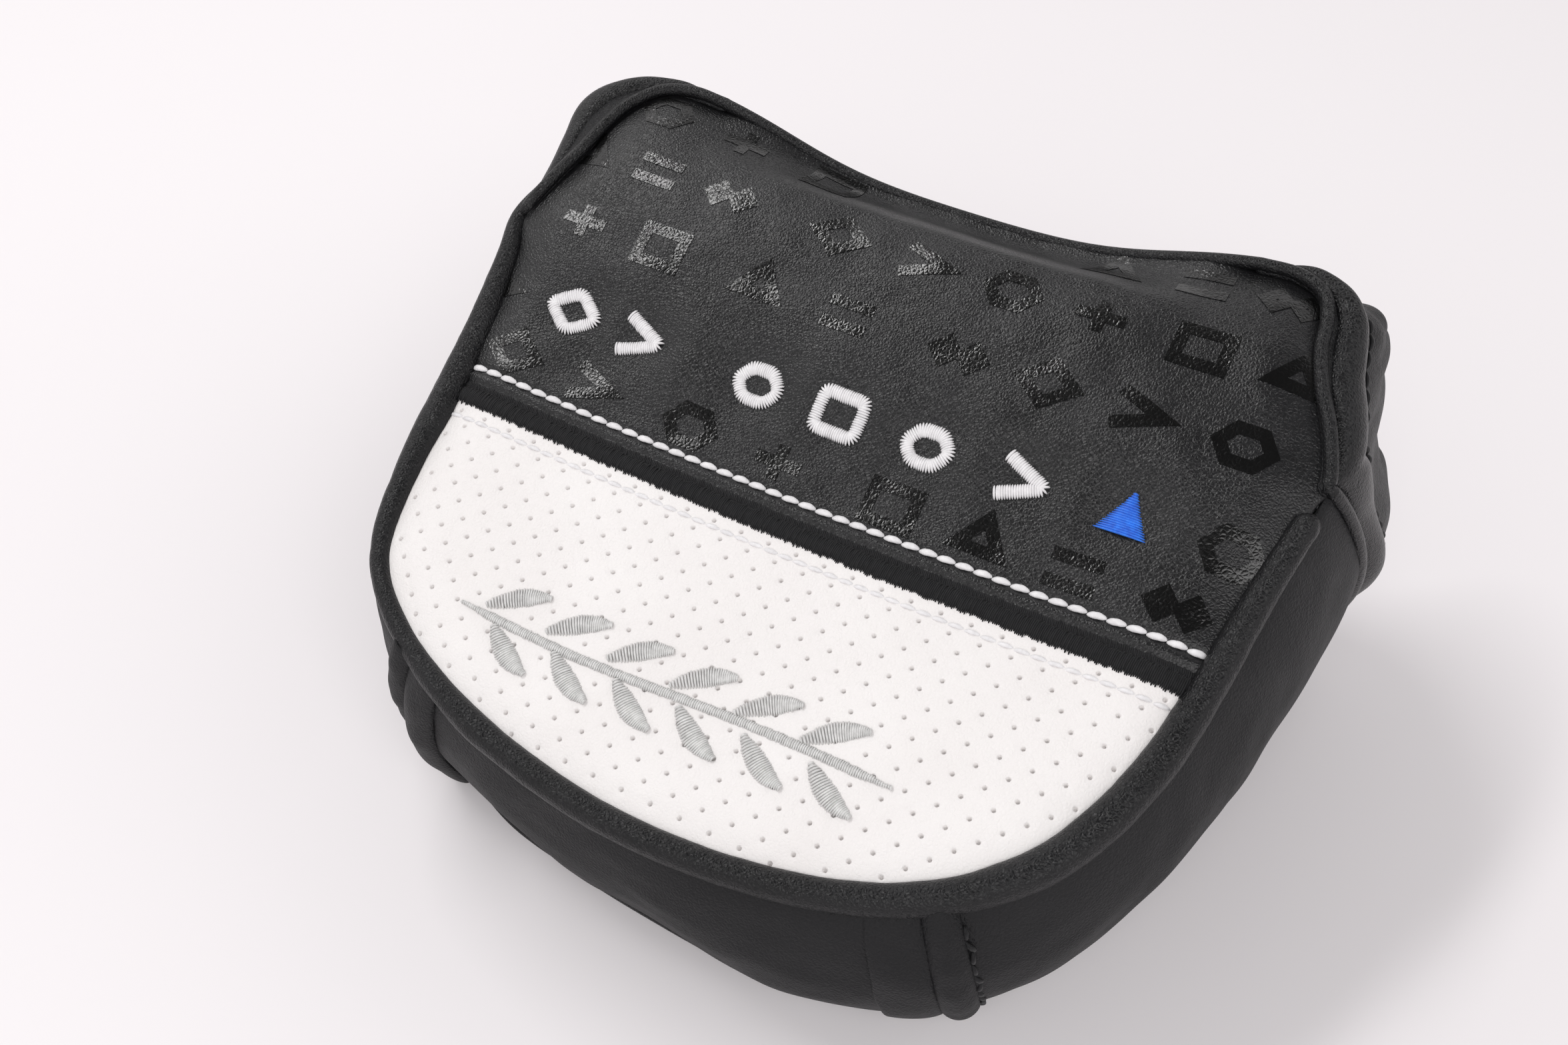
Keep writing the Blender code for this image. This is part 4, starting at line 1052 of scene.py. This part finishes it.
def ribbon(points, closed, width):
    """Grid of places over a flat ribbon with mitred corners."""
    points = np.array(points, float)
    ends = np.roll(points, -1, axis=0) if closed else points[1:]
    run = unit(ends - points[: len(ends)])
    side = sideways(run)
    before = np.roll(side, 1, axis=0) if closed else np.vstack([side[:1], side])
    after = side if closed else np.vstack([side, side[-1:]])
    mitre = (before + after) / (1 + (before * after).sum(axis=1, keepdims=True))
    if closed:
        points, mitre = np.vstack([points, points[:1]]), np.vstack([mitre, mitre[:1]])
    at = np.arange(len(points))
    fine = np.linspace(0, at[-1], at[-1] * 12 + 1)
    line, offset = (np.stack([np.interp(fine, at, v[:, k]) for k in (0, 1)], 1) for v in (points, mitre))
    return line[:, None] + offset[:, None] * np.linspace(-width / 2, width / 2, 6)[None, :, None]


def build_prints():
    """Glossy ink in one thin layer over the leather, cut off at the seams."""
    soup = Soup()
    shapes = print_shapes()
    for y, places, first in PRINT_ROWS:
        for k, x in enumerate(places):
            strokes, closed = shapes[(first + k) % len(shapes)]
            for points in strokes:
                plan = ribbon(points, closed, PRINT_STROKE) + (x, y)
                faces = grid_faces(*plan.shape[:2])
                middle = plan.reshape(-1, 2)[faces].mean(axis=1)
                faces = faces[on_panel(middle[:, 0], middle[:, 1], -0.4)]
                if len(faces):
                    lift = np.full(plan.shape[:2], PRINT_LIFT)
                    soup.add(top_point(plan[..., 0], plan[..., 1], lift), faces)
    settle(soup.build("tonal_prints", GLOSS))


# ---------------------------------------------------------------- piping

# The left tail of the rim piping: how far before the corner it leaves the rim, outwards and down.
TAIL_REACH, TAIL_OUT, TAIL_DROP = 8.0, 1.0, 1.1


def rim_piping_path(along):
    """Middle of the rim piping. Its left tail runs on below the mouth piping."""
    tail = ramp((-along - RIM_LENGTH + TAIL_REACH) / TAIL_REACH)
    return rim(along, TAIL_OUT * tail, -TAIL_DROP * tail)


# The rim piping's round tips, and its uneven leather.
PIPING_TIP, PIPING_LUMPS = 2.2, ((0.030, 6.0, 6), (0.012, 2.0, 8))


def build_piping():
    along = np.linspace(PIPING_LEFT_END, PIPING_RIGHT_END, 680)
    path = rim_piping_path(along)
    left = np.minimum(along - PIPING_LEFT_END, PIPING_RIGHT_END - along) / PIPING_TIP
    tip = np.where(left < 1, np.sqrt(np.clip(1 - (1 - left) ** 2, 0.02, 1)), 1.0)
    rings = tube_rings(path, np.broadcast_to((0.0, 0.0, 1.0), path.shape), piping_radius(along) * tip, 40)
    way = unit(rings - path[:, None, :])
    uneven = sum(height * wander(rings, size, seed) for height, size, seed in PIPING_LUMPS)
    soup = Soup()
    add_tubes(soup, (rings + uneven[..., None] * way)[None])
    settle(soup.build("rim_piping", PIPING), "front_piping")

    along = np.linspace(PIPING_LEFT_END + 6, PIPING_RIGHT_END - 3, 260)
    radius = piping_radius(along) - 0.65
    cord_piece("piping_cord", rim_piping_path(along), radius, CORD_TWIST, "front_piping_cord", sides=14)

    far = far_edge_path(60)
    right = np.concatenate([far, boundary_path(60, 90)])
    left = np.concatenate([mirror_x(far, -1), boundary_path(60, 90, -1)])
    path = np.concatenate([left[:0:-1], right])
    cord_piece("mouth_edge_piping", path, MOUTH_PIPING_RADIUS, PIPING, "mouth_piping", sides=18)

    along = np.linspace(-RIM_LENGTH + 2, RIM_LENGTH - 2, 400)
    path = gusset_point(along, 1.0)
    path[:, :2] -= 0.9 * seam_outward(along)
    path[:, 2] = BASE_PIPING_RADIUS + 0.25
    cord_piece("base_edge_piping", path, BASE_PIPING_RADIUS, PIPING, "base_piping", sides=16)


# ---------------------------------------------------------------- gusset

def gusset_places(start, end, columns, rows, tuck, bottom_gap, lean=0.0):
    """Places on the gusset, reaching under the rim piping by tuck. lean shifts their foot sideways."""
    along = np.linspace(start, end, columns)
    height = gusset_height(along)
    down = np.linspace(0, 1, rows)[:, None]
    top_gap = np.maximum(piping_radius(along) - tuck, 0.3)
    down = top_gap / height + down * (1 - (top_gap + bottom_gap) / height)
    return along + lean * down, down


def gusset_lumps(along, down, *layers):
    return lumps(along, down * GUSSET_DEPTH, *layers)


# Creases under the rim piping: depth, breadth and spacing, and where they begin along the gusset.
CREASE_SINK, CREASE_BREADTH, CREASE_SPACING, CREASE_START = 0.07, 0.28, 1.7, 70


def gusset_relief(along, down):
    """Soft lumps over the side wall, and creases under the piping towards the mouth."""
    near_end = ramp((np.abs(along) - CREASE_START) / 35) * np.clip(1 - down / 0.45, 0, 1)
    beat = along / CREASE_SPACING + 0.8 * np.sin(along / 5.0)
    creases = CREASE_SINK * np.exp(-((np.sin(math.pi * beat) / CREASE_BREADTH) ** 2)) * near_end
    swell = np.sin(math.pi * np.clip(down, 0, 1)) ** 0.5
    return gusset_lumps(along, down, *GUSSET_LUMPS) * swell - creases


def build_gusset():
    """The side wall in three lengths, each a skin over padding and lining."""
    end, seam = RIM_LENGTH - 0.7, STRIP_END
    for side, first, last, columns in (
        ("left", -end, -seam - GAP / 2, 190),
        ("front", -seam, seam, 200),
        ("right", seam + GAP / 2, end, 190),
    ):
        along, down = gusset_places(first, last, columns, 80, 0.7, 0.2)
        grid = gusset_offset(along, down, gusset_relief(along, down))
        settle(slab(f"gusset_skin_{side}", grid, LEATHER, GUSSET), f"gusset_{side}")
        inner = 5 * GAP
        first, last = first + inner * (side != "front"), last - inner * (side == "right")
        padding = gusset_places(first, last, 60, 24, -1.8, 2.2)
        lining = gusset_places(first, last, 60, 24, -2.6, 3.0)
        depth = LEATHER + 2 * GAP
        pad_and_line(
            "gusset",
            gusset_offset(*padding, -depth),
            gusset_offset(*lining, -(depth + FOAM + GAP)),
            f"_{side}",
        )


# How far the strips puff up between their stitched edges. The left one stands out more.
STRIP_PUFF = {"left": 2.3, "right": 0.45}
# Rows of a fold's stitches: pitch, width, where they start and end, and how high they lie.
FOLD_PITCH, FOLD_WIDTH, FOLD_START, FOLD_END, FOLD_LIFT = 2.4, 0.75, 0.10, 0.97, 0.15


def build_strips():
    """On each front seam: a strip, the folded edge of the side length, and the fold's stitches."""
    columns = 40
    share = np.linspace(0, 1, columns)[None, :]
    for side, sign in (("left", -1), ("right", 1)):
        lean = sign * STRIP_LEAN

        def places(first, last):
            return gusset_places(sign * first, sign * last, columns, 120, 1.6, -0.5, lean)

        along, down = places(STRIP_START - 1.2, STRIP_END - 0.1)
        rounded = np.sin(math.pi * share) ** 0.55
        full = 0.35 + 0.65 * ramp(down / 0.5)
        puff = (STRIP_PUFF[side] * full + gusset_lumps(along, down, STRIP_LUMPS)) * rounded
        grid = gusset_offset(along, np.minimum(down, 1.0), 0.45 + puff)
        settle(slab(f"seam_band_{side}", grid, LEATHER * 0.7, GUSSET), f"seam_strip_{side}")

        along, down = places(STRIP_END - 0.2, RIDGE_END - 0.8)
        raised = np.sin(math.pi * share) ** 0.6
        foot = np.sqrt(np.clip(1 - np.clip((down - 0.93) / 0.07, 0, 1) ** 2, 0, 1))
        fold = (RIDGE_HEIGHT + gusset_lumps(along, down, RIDGE_LUMPS)) * raised * foot
        grid = gusset_offset(along, np.minimum(down, 1.0), 0.1 + fold)
        settle(slab(f"seam_fold_{side}", grid, 0.5, GUSSET), f"seam_ridge_{side}")

        down = np.linspace(FOLD_START, FOLD_END, 80)
        wobble = 0.22 * np.sin(down * 34.0) + 0.15 * np.sin(down * 61.0 + 1.0)
        middle = sign * (RIDGE_END - 0.55) + lean * down + wobble
        up = gusset_normal(middle, down)
        row = (gusset_point(middle, down) + FOLD_LIFT * up, up, FOLD_PITCH, FOLD_WIDTH)
        lockstitch(f"fold_stitch_{side}", *row, BAND_THREAD, f"seam_stitch_{side}", lean=0.3 * sign)


# ---------------------------------------------------------------- bottom

def base_outline(inset, count):
    along = np.linspace(-RIM_LENGTH, RIM_LENGTH, count)
    plan = gusset_point(along, 1.0)[:, :2]
    return plan + inset * sideways(unit(np.gradient(plan, axis=0)))


def bottom_grid(inset, far_inset, reach, height, rows, columns):
    """A layer of the bottom, whose far edge reaches out between the flap's sides."""
    half = base_outline(inset, 401)[200:]
    order = np.argsort(half[:, 1], kind="stable")
    front, far = half[0, 1] + 0.05, half[-1, 1] - far_inset
    share = 1 - np.cos(np.linspace(0, math.pi / 2, rows))
    y = front + (far - front) * share
    width = np.interp(y, half[order, 1], np.maximum(half[order, 0], 0))
    x = np.linspace(-1, 1, columns)[None, :] * width[:, None]
    between = 1.0 - ramp((np.abs(x) - FLAP_HALF_WIDTH - 2) / 26)
    y = y[:, None] + ramp((share - 0.6) / 0.4)[:, None] * reach * between
    return np.stack([x, y, np.full_like(x, height)], axis=-1)


def build_bottom():
    inset, height = LEATHER + FOAM + LINING + 5 * GAP, LEATHER + GAP
    above = np.array([0.0, 0.0, 50.0])
    grid = bottom_grid(1.9, 0.2, 5.6, 0.02, 90, 90)
    settle(slab("bottom_leather", grid, LEATHER, GUSSET, above), "bottom_panel")
    padding = bottom_grid(inset, 2.0, 5.4, height, 40, 40)
    lining = bottom_grid(inset, 2.0, 5.4, height + FOAM + GAP, 60, 60)
    pad_and_line("bottom", padding, lining, centre=above)


# ---------------------------------------------------------------- mouth

# Where a collar's rolled edge and its stitches lie across it, and the roll's width.
ROLL_MIDDLE, ROLL_WIDTH, ROLL_STITCH = 0.112, 0.155, 0.218
ROLL_SLIMNESS = {"left": 0.8, "right": 1.0}


def build_collars():
    for side, sign in (("left", -1), ("right", 1)):
        inside = COLLAR_INSIDE * (sign, 1, 1)

        def layer(name, downs, acrosses, depth, thickness, finish):
            down, across = floats(np.linspace(*downs)[:, None], np.linspace(*acrosses)[None, :])
            grid = collar_offset(down, across, depth + gathers(down, across), sign)
            return slab(f"{name}_{side}", mirror_x(grid, sign), thickness, finish, inside)

        made = layer("collar_skin", (0.0, 0.995, 260), (0.0, 1.0, 80), 0.0, 1.5, COLLAR)
        settle(made, f"collar_{side}")
        depth = -(LEATHER + GAP)
        made = layer("elastic_band", (0.06, 0.95, 120), (0.84, 0.985, 8), depth - 0.2, 0.6, ELASTIC)
        settle(made, f"collar_elastic_{side}")
        depth -= LINING + GAP
        made = layer("collar_plush", (0.07, 0.94, 100), (0.24, 0.97, 30), depth, LINING, LINING_PLUSH)
        settle(made, f"collar_lining_{side}")

        down = np.linspace(0.0, 0.985, 240)[:, None]
        share = np.linspace(0, 1, 28)[None, :]
        slim = ramp(down / 0.10 + 0.35) * (1 - 0.7 * ramp((down - 0.92) / 0.065)) * ROLL_SLIMNESS[side]
        down, across = floats(down, ROLL_MIDDLE + ROLL_WIDTH * (share - 0.5) * slim)
        uneven = lumps(down * 110, across * COLLAR_DEPTH, ROLL_LUMPS)
        raised = (BINDING_HEIGHT * 0.95 + uneven) * np.sin(math.pi * share) ** 0.6 * slim
        grid = mirror_x(collar_offset(down, across, raised, sign), sign)
        settle(slab(f"binding_roll_{side}", grid, 0.5, PIPING, inside), f"collar_binding_{side}")

        down, across = floats(np.linspace(0.03, 0.95, 180), ROLL_STITCH)
        path = mirror_x(collar_offset(down, across, 0.22, sign), sign)
        up = mirror_x(collar_normal(down, across, sign), sign)
        lockstitch(f"roll_stitch_{side}", path, up, 2.9, 0.8, BAND_THREAD, f"binding_stitch_{side}")


# ---------------------------------------------------------------- closure

# The flap's plane, how far behind it its lining lies, the radius of its fold, and its foot's height.
FLAP_Y = FLAP_PLANE - DEPTH_CENTRE
FLAP_LINING = LEATHER + 2 * GAP + MAGNET_THICKNESS
FOLD_RADIUS, FLAP_FOOT = 2.2, 3.0


def flap_half(share, foot):
    """Half the width of a layer of the flap, share of the way up it. Its upper corners are rounded."""
    return (foot - 2 * share) * (1 - FLAP_CORNER * np.clip((share - 0.75) / 0.25, 0, 1) ** 2)


def flap_side(z):
    """Half the width of the flap's leather at height z."""
    return flap_half((z - FLAP_FOOT) / (FLAP_TOP - FLAP_FOOT), FLAP_HALF_WIDTH + 2)


def build_flap():
    """The flap's leather, which bends round its fold at the bottom, and its lining."""
    across = np.linspace(-1, 1, 90)[None, :]
    straight = np.linspace(FLAP_TOP, FOLD_RADIUS + 0.6, 90)
    turn = np.linspace(0, math.pi / 2, 12)[1:]
    hem = np.linspace(0, 1.4, 5)[1:]
    low = np.full_like(hem, 0.05)
    z = np.concatenate([straight, FOLD_RADIUS * (1 - np.sin(turn)) + low[0], low])
    behind = np.concatenate([0 * straight, FOLD_RADIUS * (1 - np.cos(turn)), FOLD_RADIUS + hem])
    share = np.clip((z - FLAP_FOOT) / (FLAP_TOP - FLAP_FOOT), 0, 1)[:, None]
    x = across * flap_half(share, FLAP_HALF_WIDTH + 2)
    pillow = 0.35 * np.cos(across * math.pi / 2) * np.sin(math.pi * share)
    grid = np.stack(floats(x, FLAP_Y - behind[:, None] + pillow - 0.3, z[:, None]), axis=-1)
    flap = slab("flap_leather", grid, LEATHER * 0.85, BLACK, np.array([0, FLAP_Y - 9, 30]))
    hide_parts("closure_flap")
    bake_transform(flap)

    z = np.linspace(5.0, FLAP_TOP - 1.5, 50)[:, None]
    x = np.linspace(-1, 1, 50)[None, :] * flap_half((z - 5) / (FLAP_TOP - 6.5), FLAP_HALF_WIDTH)
    grid = np.stack(floats(x, FLAP_Y - FLAP_LINING, z), axis=-1)
    settle(slab("flap_plush", grid, LINING, LINING_PLUSH), "flap_lining", body="flap")


def build_flap_edge():
    """A row of stitches along the flap's edge, and the binding that closes its layers."""
    rise, top = np.linspace(6, 56, 60), np.full(70, 57.0)
    side, end = flap_side(rise) - 2.6, flap_side(top[0]) - 2.6
    x = np.concatenate([-side, np.linspace(-end, end, len(top)), side[::-1]])
    row = np.stack(floats(x, FLAP_Y - 0.28, np.concatenate([rise, top, rise[::-1]])), axis=1)
    out = np.broadcast_to((0.0, 1.0, 0.0), row.shape)
    lockstitch("flap_edge_stitch", row, out, 2.8, 0.6, BLACK_THREAD, body="flap")

    rise = np.linspace(5.0, FLAP_TOP, 40)
    side = flap_side(rise) - 0.8
    outline = np.concatenate([np.stack([-side, rise], 1), np.stack([side, rise], 1)[::-1]])
    line, _ = resample(outline, 0.8, False, 2.5)
    path = np.stack(floats(line[:, 0], FLAP_Y - (FLAP_LINING + LINING) / 2 - 0.1, line[:, 1]), axis=1)
    shape = {"up": (0.0, 1.0, 0.0), "sides": 16, "tall": 1.5}
    cord_piece("flap_edge_binding", path, 1.5, PIPING, body="flap", **shape)


def build_lip():
    """The edge that hangs under the top and holds to the flap, and its lining."""
    plane = FLAP_Y - FLAP_LINING - LINING - 2 * GAP
    share = np.linspace(0, 1, 40)[:, None]
    x = np.linspace(-1, 1, 90)[None, :] * (LIP_HALF_WIDTH + 13 * (1 - share) ** 2)
    top = from_panel(x, far_edge(x), crown_base(x, far_edge(x)) - 0.6)[..., 2] - 1.0
    for name, node, y, bottom, thickness, finish in (
        ("lip_leather", "upper_lip", plane, LIP_BOTTOM, LEATHER, BLACK),
        ("lip_plush", "lip_lining", plane - FLAP_LINING, LIP_BOTTOM + 1, LINING, LINING_PLUSH),
    ):
        z = top + (bottom + 3 * (x / LIP_HALF_WIDTH) ** 2 - top) * share
        settle(slab(name, np.stack(floats(x, y, z), axis=-1), thickness, finish), node)


def dress_hidden():
    """Finish for the CAD nodes that stay: the magnets."""
    for node in [f"{part}_magnet_{side}" for part in ("flap", "lip") for side in ("left", "right")]:
        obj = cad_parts[node]
        obj.data.materials.clear()
        obj.data.materials.append(NICKEL)


# ---------------------------------------------------------------- studio

def floor_finish():
    n = Nodes("studio_floor")
    colour = n.blend(n.noise(260.0, 2.0), (0.86, 0.83, 0.845), (0.88, 0.855, 0.868))
    return n.finish(colour, 0.85, Specular_IOR_Level=0.1)


def area_light(name, place, size, watts, colour):
    """A rectangular light that faces the object."""
    data = bpy.data.lights.new(name, "AREA")
    data.shape = "RECTANGLE"
    data.size, data.size_y = size
    data.energy = watts
    data.color = colour
    light = bpy.data.objects.new(name, data)
    light.location = place
    light.rotation_euler = (Vector((0, 0, 0.03)) - Vector(place)).to_track_quat("-Z", "Y").to_euler()
    bpy.context.scene.collection.objects.link(light)


# Strength of the surrounding light by the sine of its height: dim low down and overhead.
DOME = ((0.0, 0.36), (0.20, 0.84), (0.46, 1.20), (0.72, 0.62), (0.84, 0.12), (1.0, 0.08))


def build_studio():
    bm = bmesh.new()
    bmesh.ops.create_grid(bm, x_segments=8, y_segments=8, size=3.0)
    mesh = bpy.data.meshes.new("studio_floor")
    bm.to_mesh(mesh)
    bm.free()
    mesh.materials.append(floor_finish())
    floor = bpy.data.objects.new("studio_floor", mesh)
    bpy.context.scene.collection.objects.link(floor)

    area_light("key_left", (-0.63, 0.12, 1.07), (0.85, 0.13), 5.6, (1.0, 0.99, 0.985))
    area_light("fill_front", (0.45, -0.66, 0.96), (1.2, 0.6), 6.0, (1.0, 0.985, 0.985))

    world = bpy.data.worlds.new("studio")
    world.use_nodes = True
    tree = world.node_tree
    place = tree.nodes.new("ShaderNodeTexCoord").outputs["Generated"]
    split = tree.nodes.new("ShaderNodeSeparateXYZ")
    tree.links.new(place, split.inputs[0])
    dome = tree.nodes.new("ShaderNodeValToRGB")
    dome.color_ramp.interpolation = "EASE"
    ramp_points = dome.color_ramp.elements
    while len(ramp_points) < len(DOME):
        ramp_points.new(0.5)
    for point, (height, strength) in zip(ramp_points, DOME):
        point.position = height
        point.color = (strength, strength, strength, 1.0)
    tree.links.new(split.outputs["Z"], dome.inputs["Fac"])
    tree.links.new(dome.outputs["Color"], tree.nodes["Background"].inputs["Strength"])
    tree.nodes["Background"].inputs["Color"].default_value = (1.0, 0.98, 0.985, 1.0)
    bpy.context.scene.world = world
    bpy.context.scene.view_settings.view_transform = "Standard"


def build_camera():
    data = bpy.data.cameras.new("camera")
    data.sensor_width, data.lens = 36.0, 33.6
    data.clip_start, data.clip_end = 0.01, 20.0
    camera = bpy.data.objects.new("camera", data)
    camera.location = (0.0767, -0.1517, 0.2147)
    camera.rotation_euler = (math.radians(43.88), math.radians(0.10), math.radians(29.50))
    bpy.context.scene.collection.objects.link(camera)
    bpy.context.scene.camera = camera


build_top()
build_patch()
build_band()
build_rows()
build_marks()
build_emblem()
build_prints()
build_piping()
build_gusset()
build_strips()
build_bottom()
build_collars()
build_flap()
build_flap_edge()
build_lip()
dress_hidden()
build_studio()
build_camera()

bpy.context.view_layer.update()
